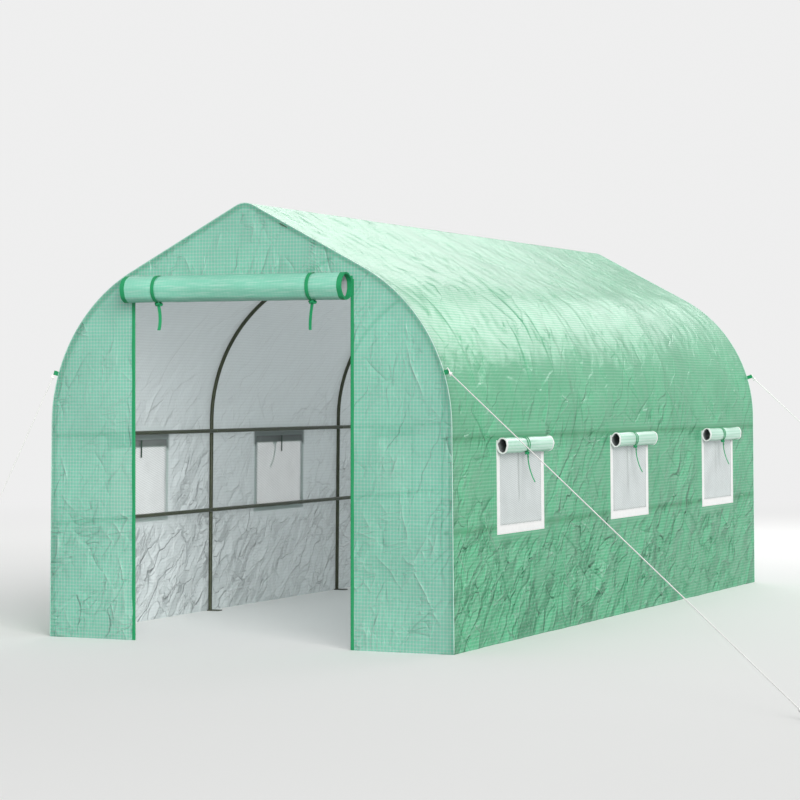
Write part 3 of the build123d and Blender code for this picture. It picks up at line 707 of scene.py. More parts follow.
def crumple_group():
    """Fine crumples and long facets of folded sheeting, with patches that are more or less handled."""
    wire, given, made = new_group("Crumple", {"Flat": None, "Scale": 14.0, "Turn": 0.75},
                                  ("Height", "Patch", "Facet"))
    flat = given["Flat"]
    pushed = wire.vector("MULTIPLY_ADD", wire.noise(flat, 5.0, 3.0)["Color"], (0.12, 0.12, 0.0), flat)
    cells = wire.add("TexVoronoi", {"Vector": pushed, "Scale": given["Scale"]},
                     voronoi_dimensions="3D", feature="DISTANCE_TO_EDGE")
    folds = wire.maths("MINIMUM", wire.times(cells.outputs["Distance"], 4.0), 1.0)
    patch = wire.spread(wire.noise(flat, 2.3, 2.0)["Fac"], 0.38, 0.66)
    turned = wire.add("VectorRotate", {"Vector": pushed, "Angle": wire.times(given["Turn"], -1.0)},
                      rotation_type="Z_AXIS").outputs[0]
    facet = 0.0
    for long, wide, share in ((3.6, 11.5, 1.0), (8.0, 26.0, 0.40)):
        stretched = wire.vector("MULTIPLY", turned, (long, wide, 1.0))
        cell = wire.add("TexVoronoi", {"Vector": stretched, "Scale": 1.0, "Smoothness": 0.16},
                        voronoi_dimensions="2D", feature="SMOOTH_F1").outputs
        off = wire.vector("SUBTRACT", stretched, cell["Position"])
        tilt = wire.vector("SUBTRACT", cell["Color"], (0.5, 0.5, 0.5))
        facet = wire.maths("MULTIPLY_ADD", wire.vector("DOT_PRODUCT", off, tilt), share, facet)
    wire.feed(made["Height"], wire.times(folds, patch))
    wire.feed(made["Patch"], patch)
    wire.feed(made["Facet"], facet)


def crease_group():
    """The sharp line of a crease, from the distance to it and its strength. Ridge feeds a pale line that is
    partly whitened sheeting and partly a painted highlight; Valley feeds painted shade.
    """
    wire, given, made = new_group("Sharp crease", {"Off": 0.0, "Strength": 0.0, "Width": 0.0070},
                                  ("Height", "Ridge", "Valley"))
    away = wire.maths("DIVIDE", wire.maths("ABSOLUTE", given["Off"]), given["Width"])
    fall, thin = (wire.times(wire.maths("EXPONENT", wire.times(away, steep)), given["Strength"])
                  for steep in (-1.0, -2.2))
    wire.feed(made["Height"], fall)
    wire.feed(made["Ridge"], wire.times(thin, 1.0, clamp=True))
    wire.feed(made["Valley"], wire.times(thin, -1.0, clamp=True))


def webbing_group():
    """Woven tape: close ribs across the tape and finer ones along it."""
    wire, given, made = new_group("Webbing weave", {"Place": None, "Pitch": 0.0016}, ("Shade", "Height"))
    x, y, z = wire.split(given["Place"])
    slants = (wire.plus(x, wire.plus(y, z)), wire.maths("SUBTRACT", z, wire.plus(x, y)))
    ribs = [wire.lines(slant, given["Pitch"], 0.5, 0.24) for slant in slants]
    height = wire.times(wire.plus(*ribs), 0.5)
    patches = wire.noise(given["Place"], 35.0, 3.0)["Fac"]
    wire.feed(made["Shade"], wire.plus(wire.times(height, 0.25), wire.times(patches, 0.5)))
    wire.feed(made["Height"], height)


def sheen_streak_group():
    """Pale streaks along rolled cloth, painted on as sheen."""
    wire, given, made = new_group("Roll sheen streaks", {"Flat": None}, ("Pale",))
    long_way = wire.vector("MULTIPLY", given["Flat"], (9.0, 130.0, 1.0))
    patches = wire.noise(long_way, 1.0, 3.0, 0.6)["Fac"]
    wire.feed(made["Pale"], wire.spread(patches, 0.46, 0.66, ease="SMOOTHSTEP"))


def tinted(colour, factor):
    """A darker or lighter kind of a colour."""
    return tuple(min(1.0, factor * part) for part in colour)


def between(first, second, share):
    """A colour this share of the way from one to another."""
    return tuple((1 - share) * a + share * b for a, b in zip(first, second))


def start_material(name, **constants):
    """A material, its wiring and its Principled shader, with the shader's plain values set."""
    material = bpy.data.materials.new(name)
    material.use_nodes = True
    shader = material.node_tree.nodes["Principled BSDF"]
    for label, value in constants.items():
        shader.inputs[label.replace("_", " ")].default_value = value
    return material, Wiring(material.node_tree), shader


def cloth_material(name, base, thread, through, pitch, inner, rough=0.27, folds=0.0016,
                   see_through=0.0, streaks=None, turn=0.75):
    """Ripstop cloth: green with a faint thread check, creased, with painted shade where a tube lies behind
    it. Its colour also holds painted shade along sunken creases and under the rolls on its inner face, a pale
    line on raised creases that is partly whitened sheeting and partly a painted highlight, and, if streaks
    are given, streaks of painted sheen.
    """
    material, wire, shader = start_material(name, Roughness=rough, Specular_IOR_Level=0.55,
                                            Alpha=1 - see_through)
    flat = wire.flat()
    weave = wire.group("Ripstop weave", Flat=flat, Pitch=pitch)
    crumple = wire.group("Crumple", Flat=flat, Scale=14.0, Turn=turn)
    crease = wire.group("Sharp crease", Off=wire.attribute("crease_off"),
                        Strength=wire.attribute("crease_strength"))
    tone = wire.spread(crumple["Patch"], 0.0, 1.0, 0.93, 1.06)
    grey = wire.add("CombineColor", {0: tone, 1: tone, 2: tone}).outputs[0]
    colour = wire.mix(1.0, wire.mix(weave["Thread"], base, thread), grey, "MULTIPLY")
    # Painted shade: the darker green where a rail or hoop lies behind the cloth and holds back the light
    # coming through it.
    behind = tuple(part * share for part, share in zip(base, (0.25, 0.55, 0.40)))
    # Along raised creases a pale line, partly whitened sheeting and partly a painted highlight; along sunken
    # ones painted shade; then the tubes' painted shade.
    for mask, share, other in ((crease["Ridge"], 0.45, between(base, (0.72, 0.80, 0.76), 0.55)),
                               (crease["Valley"], 0.38, tinted(base, 0.62)),
                               (wire.attribute("tube_behind"), 0.38, behind)):
        colour = wire.mix(wire.times(mask, share), colour, other)
    # Painted sheen: pale streaks along the rolled cloth.
    if streaks is not None:
        pale = wire.group("Roll sheen streaks", Flat=flat)["Pale"]
        colour = wire.mix(wire.times(pale, 0.28), colour, streaks)
    lining = wire.mix(weave["Thread"], inner, tinted(inner, 0.90))
    # Painted shadow of a rolled flap outside, darkening the cover's inner face.
    lining = wire.mix(wire.times(wire.attribute("roll_outside"), 0.80), lining, tinted(inner, 0.28))
    colour = wire.mix(wire.add("NewGeometry").outputs["Backfacing"], colour, lining)
    wire.feed(shader.inputs["Base Color"], colour)
    handled = wire.attribute("handled")
    worn = wire.times(handled, wire.maths("MULTIPLY_ADD", crumple["Patch"], 0.85, 0.50))
    faceted = wire.bump(shader, wire.times(crumple["Facet"], worn), 1.0, 0.056)
    sharp = wire.bump(shader, crease["Height"], 1.0, 0.0062, faceted)
    crumpled = wire.times(crumple["Height"], wire.plus(0.45, handled, clamp=True))
    folded = wire.bump(shader, crumpled, 0.55, folds, sharp)
    wire.bump(shader, weave["Height"], 0.30, 0.0005, folded)
    glow = wire.add("BsdfTranslucent", {"Color": colour})
    wire.mix_shaders(through, shader, glow)
    return material


def webbing_material(name, colour, pitch=0.0016, rough=0.7):
    """Woven tape with a slight change of shade."""
    material, wire, shader = start_material(name, Roughness=rough)
    weave = wire.group("Webbing weave", Place=wire.place(), Pitch=pitch)
    woven = wire.mix(weave["Shade"], tinted(colour, 0.72), tinted(colour, 1.22))
    wire.feed(shader.inputs["Base Color"], woven)
    wire.bump(shader, weave["Height"], 0.5, 0.0004)
    return material


def stitched_material(name, colour, thread, wide, rough):
    """Flat tape whose own map gives its length and width: fine ribs and a row of stitches by each edge."""
    material, wire, shader = start_material(name, Roughness=rough)
    flat = wire.flat()
    weave = wire.group("Webbing weave", Place=flat, Pitch=0.0019)
    length, across = wire.split(flat)[:2]
    seam_inset = 0.0035
    off = wire.maths("ABSOLUTE", wire.maths("SUBTRACT", across, wide / 2))
    row = wire.maths("ABSOLUTE", wire.maths("SUBTRACT", off, wide / 2 - seam_inset))
    near = wire.spread(row, 0.0010, 0.0004)
    stitch = wire.times(near, wire.lines(length, 0.0050, 0.62, 0.10))
    woven = wire.mix(weave["Shade"], tinted(colour, 0.80), tinted(colour, 1.12))
    wire.feed(shader.inputs["Base Color"], wire.mix(stitch, woven, thread))
    seam = wire.bump(shader, near, -0.5, 0.0006)
    ribs = wire.times(wire.lines(length, 0.0030, 0.45, 0.25), 0.4)
    wire.bump(shader, wire.plus(ribs, weave["Height"]), 0.4, 0.0004, seam)
    return material


def net_material(colour):
    """Insect net: fine slanting threads with small gaps that show what is behind, with the roll's shadow
    painted on its inner face.
    """
    material, wire, shader = start_material("window net", Roughness=0.75)
    flat = wire.flat()
    along, up = wire.split(flat)[:2]
    slant = wire.plus(along, wire.times(up, 0.62))
    other = wire.maths("SUBTRACT", up, wire.times(along, 0.2))
    threads = wire.maths("MAXIMUM", wire.lines(slant, 0.0105, 0.45, 0.2),
                         wire.lines(other, 0.0085, 0.40, 0.2))
    shade = wire.plus(wire.times(threads, 0.5), wire.noise(flat, 9.0, 4.0)["Fac"])
    backfacing = wire.add("NewGeometry").outputs["Backfacing"]
    # Painted shadow of the roll: seen from inside, the net turns dark and opaque where a roll lies outside
    # it.
    inside = wire.times(wire.times(wire.attribute("roll_outside"), backfacing), 0.85)
    grey = wire.mix(shade, tinted(colour, 0.8), tinted(colour, 1.15))
    wire.feed(shader.inputs["Base Color"], wire.mix(inside, grey, tinted(colour, 0.10)))
    alpha = wire.plus(0.46, wire.times(threads, 0.34))
    wire.feed(shader.inputs["Alpha"], wire.maths("MAXIMUM", alpha, inside))
    wire.bump(shader, threads, 0.4, 0.0006)
    return material


def steel_material(name, colour):
    """Dark paint over steel tube, a little worn and dusty."""
    material, wire, shader = start_material(name, Metallic=0.25)
    dust = wire.noise(wire.place(), 26.0, 5.0, 0.65)["Fac"]
    dusty = wire.mix(wire.spread(dust, 0.35, 0.75), colour, tinted(colour, 1.9))
    wire.feed(shader.inputs["Base Color"], dusty)
    wire.feed(shader.inputs["Roughness"], wire.spread(dust, 0.3, 0.8, 0.30, 0.48))
    wire.bump(shader, dust, 0.12, 0.0006)
    return material


def rope_material(colour):
    """White twisted rope, with painted shade in the grooves between its strands."""
    material, wire, shader = start_material("guy rope", Roughness=0.72)
    # Painted shade where the rope lies under its full radius, in the grooves.
    shade = wire.times(wire.attribute("groove"), 4.0, clamp=True)
    wire.feed(shader.inputs["Base Color"], wire.mix(shade, colour, tinted(colour, 0.45)))
    wire.bump(shader, wire.noise(wire.place(), 700.0, 2.0)["Fac"], 0.3, 0.0003)
    return material


MATERIALS = {}


def make_materials():
    """All the materials of the tunnel, from the user's colours."""
    settings = bpy.context.scene.polytunnel
    c = settings.colours
    pitch = settings.sizes.weave_pitch
    for group in (ripstop_group, crumple_group, crease_group, webbing_group, sheen_streak_group):
        group()
    MATERIALS.update({
        "cover": cloth_material("ripstop cover", c.cloth, c.thread, 0.36, pitch, c.inner),
        "end": cloth_material("end panel cloth", c.end_cloth, c.end_thread, 0.30, pitch, c.inner,
                              rough=0.32, see_through=0.20, turn=1.15),
        # The door flap's inner face is the inner colour darkened, as painted shade in the hollow of the roll;
        # its pale streaks are painted sheen.
        "flap": cloth_material("rolled flap cloth", c.flap, c.flap_thread, 0.10, pitch, tinted(c.inner, 0.60),
                               folds=0.0012, streaks=(0.62, 0.78, 0.72)),
        # The window flap's inner face is darker still, as painted shade in the hollow of the roll.
        "window_flap": cloth_material("window flap cloth", c.window_flap, (0.30, 0.68, 0.48), 0.10, pitch,
                                      tinted(c.inner, 0.35), folds=0.0006),
        "webbing": webbing_material("dark green webbing", c.webbing),
        # The inner ties are the green webbing painted near black, as painted shade where they hang against
        # the bright net.
        "inner_tie": webbing_material("inner tie", (0.030, 0.060, 0.042)),
        "tape": webbing_material("white tape", c.tape, pitch=0.0022, rough=0.6),
        "white_tape": stitched_material("window tape", c.tape, tinted(c.tape, 0.6), TAPE, 0.55),
        "green_tape": stitched_material("doorway tape", c.webbing, tinted(c.webbing, 0.4), 0.033, 0.6),
        "piping": webbing_material("piping", between(c.tape, c.flap, 0.60)),
        "net": net_material(c.net),
        "steel": steel_material("painted steel tube", c.steel),
        "peg": steel_material("peg steel", tinted(c.steel, 1.6)),
        "rope": rope_material(c.rope),
    })


# Shared shapes of the pieces

def outside(value, low, high):
    """How far a value lies outside a range, under 0 inside it."""
    return np.maximum(low - value, value - high)


def hump(value, middle, width):
    """1 at the middle, falling softly to 0 past the width."""
    return np.exp(-((value - middle) / width) ** 2)


def near_windows(along, run):
    """0 inside a window's tape and roll, rising to 1 a little way off."""
    calm = np.ones_like(along)
    for low, high in WINDOWS:
        off = np.hypot(np.maximum(outside(along, low, high), 0),
                       np.maximum(outside(run, WINDOW_LOW, WINDOW_HIGH + ROLL_RISE), 0))
        calm = np.minimum(calm, np.clip(off / CALM_REACH, 0, 1))
    return calm * calm * (3 - 2 * calm)


def from_hoops(along):
    """0 at a hoop, 1 half way between two."""
    phase = (along - HOOPS[0]) / HOOP_PITCH
    return np.abs(np.sin(np.clip(phase, 0, 3) * pi)) ** 0.7


def tied_knot(name, centre, wide, deep, high, radius):
    """A small tight knot of strap or cord: a trefoil pulled tight, with its size along x, y and z."""
    path = [Vector(centre) + Vector(((sin(t) + 2 * sin(2 * t)) * wide / 6,
                                     (cos(t) - 2 * cos(2 * t)) * deep / 6,
                                     -sin(3 * t) * high / 2.4))
            for t in np.linspace(0, 2 * pi, 73)]
    return swept(name, path, radius, 8)


def wound_path(turns, steps, depth, drop, pitch, seam):
    """The end view of a wound flap: from its seam on the wall down, under the roll, over it and inwards.

    Each point is (out of the wall, up), measured from the middle of the roll."""
    path = [Vector((-depth / 2, seam)), Vector((-depth / 2, seam * 0.55))]
    for i in range(int(turns * steps) + 1):
        turn = pi + 2 * pi * i / steps
        shrink = pitch * i / steps
        path.append(Vector(((depth / 2 - shrink) * cos(turn), (drop / 2 - shrink) * sin(turn))))
    return path


def path_length(path):
    """The length of a chain of points."""
    return sum((b - a).length for a, b in zip(path, path[1:]))


# Operators

class MakePiece:
    """What the tunnel's operators share."""
    bl_options = {"REGISTER", "UNDO"}

    def sizes(self, context):
        """The user's sizes."""
        return context.scene.polytunnel.sizes


class TUNNEL_OT_hoops(MakePiece, bpy.types.Operator):
    """Round tubes of the hoops: legs, bent shoulder tubes, rafters and ridge elbows, with swaged joints"""
    bl_idname = "tunnel.hoops"
    bl_label = "Hoops"

    def leg(self, sides):
        """A straight leg with its narrow upper end."""
        foot, top = leg_point(TUBE_INSET, LEG_FOOT), leg_point(TUBE_INSET, LEG_JOINT)
        start_tube(foot, LEG_UP, TUBE_RADIUS, sides)
        extend(top - foot)
        add_neck(top, LEG_UP * SWAGE)
        return end_tube("leg")

    def bow(self, sides):
        """The bent tube over the shoulder with its narrow upper end."""
        low, high = shoulder_ends(TUBE_INSET)
        start = leg_point(TUBE_INSET, LEG_JOINT) + LEG_UP * JOINT_GAP
        start_tube(start, LEG_UP, TUBE_RADIUS, sides)
        extend(low - start)
        bend(low - LEG_OUT * (SHOULDER_RADIUS - TUBE_INSET), (0, -1, 0), SHOULDER_TURN, 28)
        extend(ROOF_UP * BOW_REACH)
        add_neck(high + ROOF_UP * BOW_REACH, ROOF_UP * SWAGE)
        return end_tube("bow")

    def rafter(self, sides):
        """The straight tube between a bow and a ridge elbow."""
        start = shoulder_ends(TUBE_INSET)[1] + ROOF_UP * (BOW_REACH + JOINT_GAP)
        start_tube(start, ROOF_UP, TUBE_RADIUS, sides)
        extend(ridge_start(TUBE_INSET) - ROOF_UP * (ELBOW_ARM + JOINT_GAP) - start)
        return end_tube("rafter")

    def elbow(self, sides):
        """The bent tube over the ridge with its two straight arms."""
        start_tube(ridge_start(TUBE_INSET) - ROOF_UP * ELBOW_ARM, ROOF_UP, TUBE_RADIUS, sides)
        extend(ROOF_UP * ELBOW_ARM)
        bend((0, 0, RIDGE_HEIGHT - RIDGE_RADIUS), (0, -1, 0), 2 * ROOF_PITCH, 12)
        extend(Vector((ROOF_UP.x, 0, -ROOF_UP.z)) * ELBOW_ARM)
        return end_tube("elbow")

    def at_hoops(self, part, turn, name, node):
        """A copy of the part at each hoop, as one piece."""
        copies = [copy_of(part, along_tunnel(place) @ turn) for place in HOOPS]
        finish_piece(join(copies, name), "steel", "frame_steel", node)

    def execute(self, context):
        sides = self.sizes(context).tube_sides
        for name, make in (("legs", self.leg), ("bows", self.bow), ("rafters", self.rafter)):
            part = make(sides)
            for side, turn in (("right", Matrix()), ("left", MIRROR)):
                self.at_hoops(part, turn, f"{side}_{name}_tube", f"{side}_{name}")
            bpy.data.objects.remove(part)
        elbow = self.elbow(sides)
        self.at_hoops(elbow, Matrix(), "ridge_elbow_tubes", "ridge_elbows")
        bpy.data.objects.remove(elbow)
        return {"FINISHED"}


class TUNNEL_OT_rails(MakePiece, bpy.types.Operator):
    """Side rails and ridge bars, slipped end into end, and the bolts that hold the rails to the legs"""
    bl_idname = "tunnel.rails"
    bl_label = "Rails and ridge bars"

    inset = TUBE_INSET + 2 * TUBE_RADIUS + CLEARANCE

    def rail(self, line, name, sides):
        """One rail of three tubes along a line, each narrow where the next begins."""
        reach = HALF_LENGTH - RAIL_SHORT
        piece = 2 * reach / 3
        tubes = []
        for i in range(3):
            start = line + ALONG * (i * piece - reach)
            run = piece if i == 2 else piece - JOINT_GAP
            start_tube(start, ALONG, TUBE_RADIUS, sides)
            extend(ALONG * run)
            if i < 2:
                add_neck(start + ALONG * run, ALONG * CLEARANCE)
            tubes.append(end_tube(f"rail_{i}"))
        return join(tubes, name)

    def ridge_bar(self, near, far, sides):
        """The bar under the ridge between two hoops."""
        run = far - near - 2 * (TUBE_RADIUS + CLEARANCE)
        start_tube((0, near + TUBE_RADIUS + CLEARANCE, RIDGE_HEIGHT - TUBE_INSET), ALONG, TUBE_RADIUS, sides)
        extend(ALONG * run)
        return end_tube("bar")

    def bolts(self, place):
        """The round heads of one bolt on the right and one on the left."""
        deselect()
        bpy.ops.mesh.primitive_cylinder_add(vertices=16, radius=0.0055, depth=0.004, location=place,
                                            rotation=(0, pi / 2, 0))
        bpy.ops.object.transform_apply(location=True, rotation=True, scale=True)
        bolt = bpy.context.object
        soften(bolt, 0.0016, 3)
        return [bolt, copy_of(bolt, MIRROR)]

    def execute(self, context):
        sides = self.sizes(context).tube_sides
        for level, height in zip(("upper", "lower"), RAIL_HEIGHTS):
            rail = self.rail(leg_point(self.inset, height), f"right_{level}_rail_tube", sides)
            other = copy_of(rail, MIRROR)
            other.name = f"left_{level}_rail_tube"
            for side, obj in (("right", rail), ("left", other)):
                finish_piece(obj, "steel", "frame_steel", f"{side}_{level}_rail")
        bars = [self.ridge_bar(near, far, sides) for near, far in zip(HOOPS, HOOPS[1:])]
        finish_piece(join(bars, "ridge_bar_tubes"), "steel", "frame_steel", "ridge_bars")
        places = [leg_point(self.inset + TUBE_RADIUS, height) + ALONG * hoop
                  for height in RAIL_HEIGHTS for hoop in HOOPS]
        bolts = [bolt for place in places for bolt in self.bolts(place)]
        finish_piece(join(bolts, "rail_bolts"), "peg", "frame_steel")
        NODES["foot_plates"].data.materials.clear()
        NODES["foot_plates"].data.materials.append(MATERIALS["steel"])
        return {"FINISHED"}


# Creases of one side: crumpled walls, long faint folds on the shoulder and streaks on the roof.
# Each row: how many, where along, where up, length, share of the height, turn, share that fork, width
LENGTHWISE = (-HALF_LENGTH, HALF_LENGTH)
SIDE_CREASES = (
    (100, LENGTHWISE, (0.01, 0.50), (0.14, 0.36), (0.70, 1.50), (0.35, 1.10), 0.40, (0.010, 0.020)),
    (320, LENGTHWISE, (0.01, 0.52), (0.05, 0.17), (0.45, 1.20), (0.05, 1.20), 0.50, (0.007, 0.013)),
    (70, LENGTHWISE, (0.45, 1.10), (0.12, 0.36), (0.50, 1.10), (0.30, 1.10), 0.40, (0.010, 0.020)),
    (170, LENGTHWISE, (0.45, 1.05), (0.04, 0.18), (0.30, 0.85), (0.20, 1.35), 0.40, (0.009, 0.020)),
    (110, LENGTHWISE, (1.00, 1.75), (0.04, 0.16), (0.12, 0.38), (0.10, 1.50), 0.25, (0.009, 0.020)),
    (16, LENGTHWISE, (1.10, 1.90), (0.35, 0.80), (0.22, 0.40), (0.90, 1.50), 0.00, (0.009, 0.020)),
    (300, LENGTHWISE, (1.65, HALF_RUN), (0.04, 0.16), (0.12, 0.34), (0.50, 1.55), 0.25, (0.009, 0.020)),
)


class TUNNEL_OT_side_cover(MakePiece, bpy.types.Operator):
    """The cover's two sides, each one sheet from its hem over the shoulder to the ridge"""
    bl_idname = "tunnel.side_cover"
    bl_label = "Side cover"

    def grid(self, step):
        """The flat grid as the run up from the hem and the place along, and which of its cells are cloth."""
        runs = spaced([0, WINDOW_LOW + NET_EDGE, WINDOW_HIGH - NET_EDGE, WALL_RUN, HALF_RUN], step)
        openings = [(low + NET_EDGE, high - NET_EDGE) for low, high in WINDOWS]
        places = spaced([FRONT, *(edge for opening in openings for edge in opening), HALF_LENGTH], step)
        run, along = np.meshgrid(runs, places, indexing="ij")
        cell_run, cell_along = ((corner[:-1, :-1] + corner[1:, 1:]) / 2 for corner in (run, along))
        level = outside(cell_run, WINDOW_LOW + NET_EDGE, WINDOW_HIGH - NET_EDGE) < 0
        holes = np.zeros(level.shape, bool)
        for low, high in openings:
            holes |= level & (outside(cell_along, low, high) < 0)
        return run, along, ~holes

    def tube_shadows(self, run, along):
        """How much the rails and the middle hoops darken the cloth in front of them, as painted shade."""
        shown = np.zeros_like(run)
        for height, depth in zip(RAIL_HEIGHTS, (1.5, 1.3)):
            shown += depth * hump(run, height, 0.013)
        for hoop in HOOPS[1:3]:
            shown += 0.10 * hump(along, hoop, 0.010)
        return shown

    def roll_shadows(self, run, along):
        """1 where a rolled flap lies on the other side of the cloth: where its shadow is painted on the inner
        face.
        """
        shown = np.zeros_like(run)
        for low, high in WINDOWS:
            off = np.maximum(outside(along, low, high), outside(run, *ROLL_BAND))
            shown = np.maximum(shown, np.clip(1 - off / 0.012, 0, 1))
        return shown

    def relief(self, run, along, folds, seed, sizes):
        """How far the cloth stands off its outline: the sag between hoops, soft waves and creases."""
        span = from_hoops(along)
        crest = np.clip((HALF_RUN - run - 0.02) / 0.12, 0, 1)
        edge = np.clip((HALF_LENGTH - np.abs(along)) / 0.05, 0, 1)
        most = 2.6 * sizes.crease_height
        push = -sizes.sag * span * crest * (0.55 + 0.45 * np.clip(run / 1.2, 0, 1))
        push += 0.0016 * ripples(along, run, 0.42, 14, seed) * np.clip(span * 1.6, 0, 1) * crest
        push += 0.0007 * ripples(along * 1.3, run, 0.13, 18, seed + 1) * np.clip(span * 2, 0, 1) * crest
        push += np.clip(folds, -most, most) * (0.45 + 0.55 * span)
        return np.maximum(push * near_windows(along, run) * edge, -0.0018 - 0.014 * span * crest)

    def execute(self, context):
        sizes = self.sizes(context)
        run, along, cloth = self.grid(sizes.cell)
        x, z, nx, nz = outline(run)
        calm = near_windows(along, run)
        handled = np.interp(run, (0, 0.50, 0.62, 1.0, 1.35), (1.15, 1.10, 0.72, 0.26, 0.04))
        for side, turned, seed in (("right", 1, 11), ("left", -1, 29)):
            marks = crease_marks(seed + 2, sizes.crease_height, SIDE_CREASES)
            folds, off, strength = creased(along, run, marks, seed + 5)
            relief = self.relief(run, along, folds, seed, sizes)
            points = np.stack([turned * (x + nx * relief), along, z + nz * relief * (run > HEM)], axis=-1)
            cover = new_object(f"{side}_side_cover", points.reshape(-1, 3),
                               grid_faces(*run.shape, keep=cloth, flip=turned < 0))
            set_uv(cover, np.stack([along, run], axis=-1))
            # Painted shade as point values: of the tubes behind the cloth, and of the rolls outside it on the
            # inner face.
            set_values(cover, tube_behind=self.tube_shadows(run, along), handled=calm * handled,
                       roll_outside=self.roll_shadows(run, along), crease_off=off,
                       crease_strength=strength / sizes.crease_height * calm)
            drop_loose(cover)
            finish_piece(cover, "cover", "ripstop_cover", f"{side}_wall_cover",
                         f"{side}_shoulder_cover", f"{side}_roof_cover")
        return {"FINISHED"}


# Creases of an end panel, with where across it in the second place
CROSSWISE = (-HALF_WIDTH, HALF_WIDTH)
END_CREASES = (
    (44, CROSSWISE, (0.02, 0.60), (0.14, 0.38), (0.60, 1.30), (0.70, 1.45), 0.30, (0.012, 0.024)),
    (90, CROSSWISE, (0.02, 0.62), (0.05, 0.22), (0.50, 1.00), (0.60, 1.50), 0.50, (0.009, 0.020)),
    (36, CROSSWISE, (0.55, 1.70), (0.10, 0.30), (0.50, 1.10), (0.60, 1.50), 0.20, (0.012, 0.022)),
    (110, CROSSWISE, (0.60, 1.50), (0.04, 0.16), (0.20, 0.60), (0.50, 1.55), 0.25, (0.009, 0.020)),
    (46, (-0.6, 0.6), (1.60, 1.93), (0.05, 0.16), (0.30, 0.70), (0.80, 1.55), 0.20, (0.009, 0.020)),
)


class TUNNEL_OT_end_panels(MakePiece, bpy.types.Operator):
    """The front panel with its doorway and the closed rear panel"""
    bl_idname = "tunnel.end_panels"
    bl_label = "End panels"

    opening = (DOOR_LEFT - 0.0005, DOOR_RIGHT + 0.0005)
    top = RIDGE_HEIGHT - 0.0006
    area = float(np.sum((OUTLINE_X[1:] + OUTLINE_X[:-1]) * np.diff(OUTLINE_Z)))

    def relief(self, x, z, seed, height):
        """Creases and soft waves of an end panel, as a push outwards, and its sharp crease lines."""
        marks = crease_marks(seed, height, END_CREASES)
        push, off, strength = creased(x, z, marks, seed + 5)
        push += 0.0016 * ripples(x, z, 0.45, 12, seed + 1) + 0.0006 * ripples(x, z, 0.14, 14, seed + 2)
        inside = np.clip((half_width_at(z) - np.abs(x)) / 0.07, 0, 1)
        return np.maximum(push * inside, -0.006 * inside - 0.0005), off, strength / height

    def hoop_shadow(self, x, z):
        """Painted shade of the hoop where it lies behind the cloth."""
        inside = (half_width_at(z) - np.abs(x)) * np.where(z > 1.2, 0.88, 1.0)
        return 0.35 * hump(inside, 0.021, 0.012)

    def off_doorway(self, x, z):
        """0 at the doorway's tapes, rising to 1 a little way off."""
        near_door = np.minimum(np.abs(x - DOOR_LEFT), np.abs(x - DOOR_RIGHT))
        beside = np.where(z < DOOR_TOP, near_door, np.hypot(near_door, z - DOOR_TOP))
        over = np.where((x > DOOR_LEFT) & (x < DOOR_RIGHT), np.abs(z - DOOR_TOP), 1)
        return np.clip((np.minimum(beside, over) - 0.012) / 0.05, 0, 1)

    def build(self, name, x, z, faces, seed, outward, sizes):
        """One end panel from its flat points, facing the front at -1 and the rear at 1."""
        push, off, strength = self.relief(x, z, seed, 0.8 * sizes.crease_height)
        if outward < 0:
            push = push * self.off_doorway(x, z)
        y = outward * (HALF_LENGTH - 0.0004 + push)
        panel = new_object(name, np.stack([x, y, z], axis=-1).reshape(-1, 3), faces)
        set_uv(panel, np.stack([x, z], axis=-1))
        # The hoop's painted shade through the cloth.
        set_values(panel, tube_behind=self.hoop_shadow(x, z),
                   handled=np.interp(z, (0, 0.45, 0.75), (0.24, 0.20, 0.12)), crease_off=off,
                   crease_strength=strength)
        return panel

    def front_grid(self, step):
        """The front's flat grid with straight doorway edges, and which of its cells are cloth."""
        door_low, door_high = self.opening
        at_lintel = float(half_width_at(DOOR_TOP))
        across = spaced([-at_lintel, door_low, door_high, at_lintel], step * at_lintel / 0.82)
        rows, shares = np.meshgrid(spaced([0, DOOR_TOP, self.top], step), across, indexing="ij")
        edge = half_width_at(rows)
        below = rows < DOOR_TOP + 1e-6
        left_share = np.clip((shares + at_lintel) / (door_low + at_lintel), 0, 1)
        right_share = np.clip((shares - door_high) / (at_lintel - door_high), 0, 1)
        x = np.where(below & (shares <= door_low + 1e-9), -edge + left_share * (door_low + edge),
                     shares * edge / at_lintel)
        x = np.where(below & (shares >= door_high - 1e-9), door_high + right_share * (edge - door_high), x)
        cell_share, cell_height = ((corner[:-1, :-1] + corner[1:, 1:]) / 2 for corner in (shares, rows))
        return x, rows, ~((outside(cell_share, door_low, door_high) < 0) & (cell_height < DOOR_TOP))

    def execute(self, context):
        sizes = self.sizes(context)
        x, rows, cloth = self.front_grid(sizes.cell)
        front = self.build("front_panel", x, rows, grid_faces(*rows.shape, keep=cloth), 41, -1, sizes)
        drop_loose(front)
        finish_piece(front, "end", "end_panel", "front_left_panel", "front_right_panel", "front_gable_panel")
        rows, shares = np.meshgrid(spaced([0, self.top], sizes.cell), spaced([-1, 1], sizes.cell),
                                   indexing="ij")
        rear = self.build("rear_panel_cloth", shares * half_width_at(rows), rows,
                          grid_faces(*rows.shape, flip=True), 57, 1, sizes)
        finish_piece(rear, "end", "end_panel", "rear_panel")
        return {"FINISHED"}


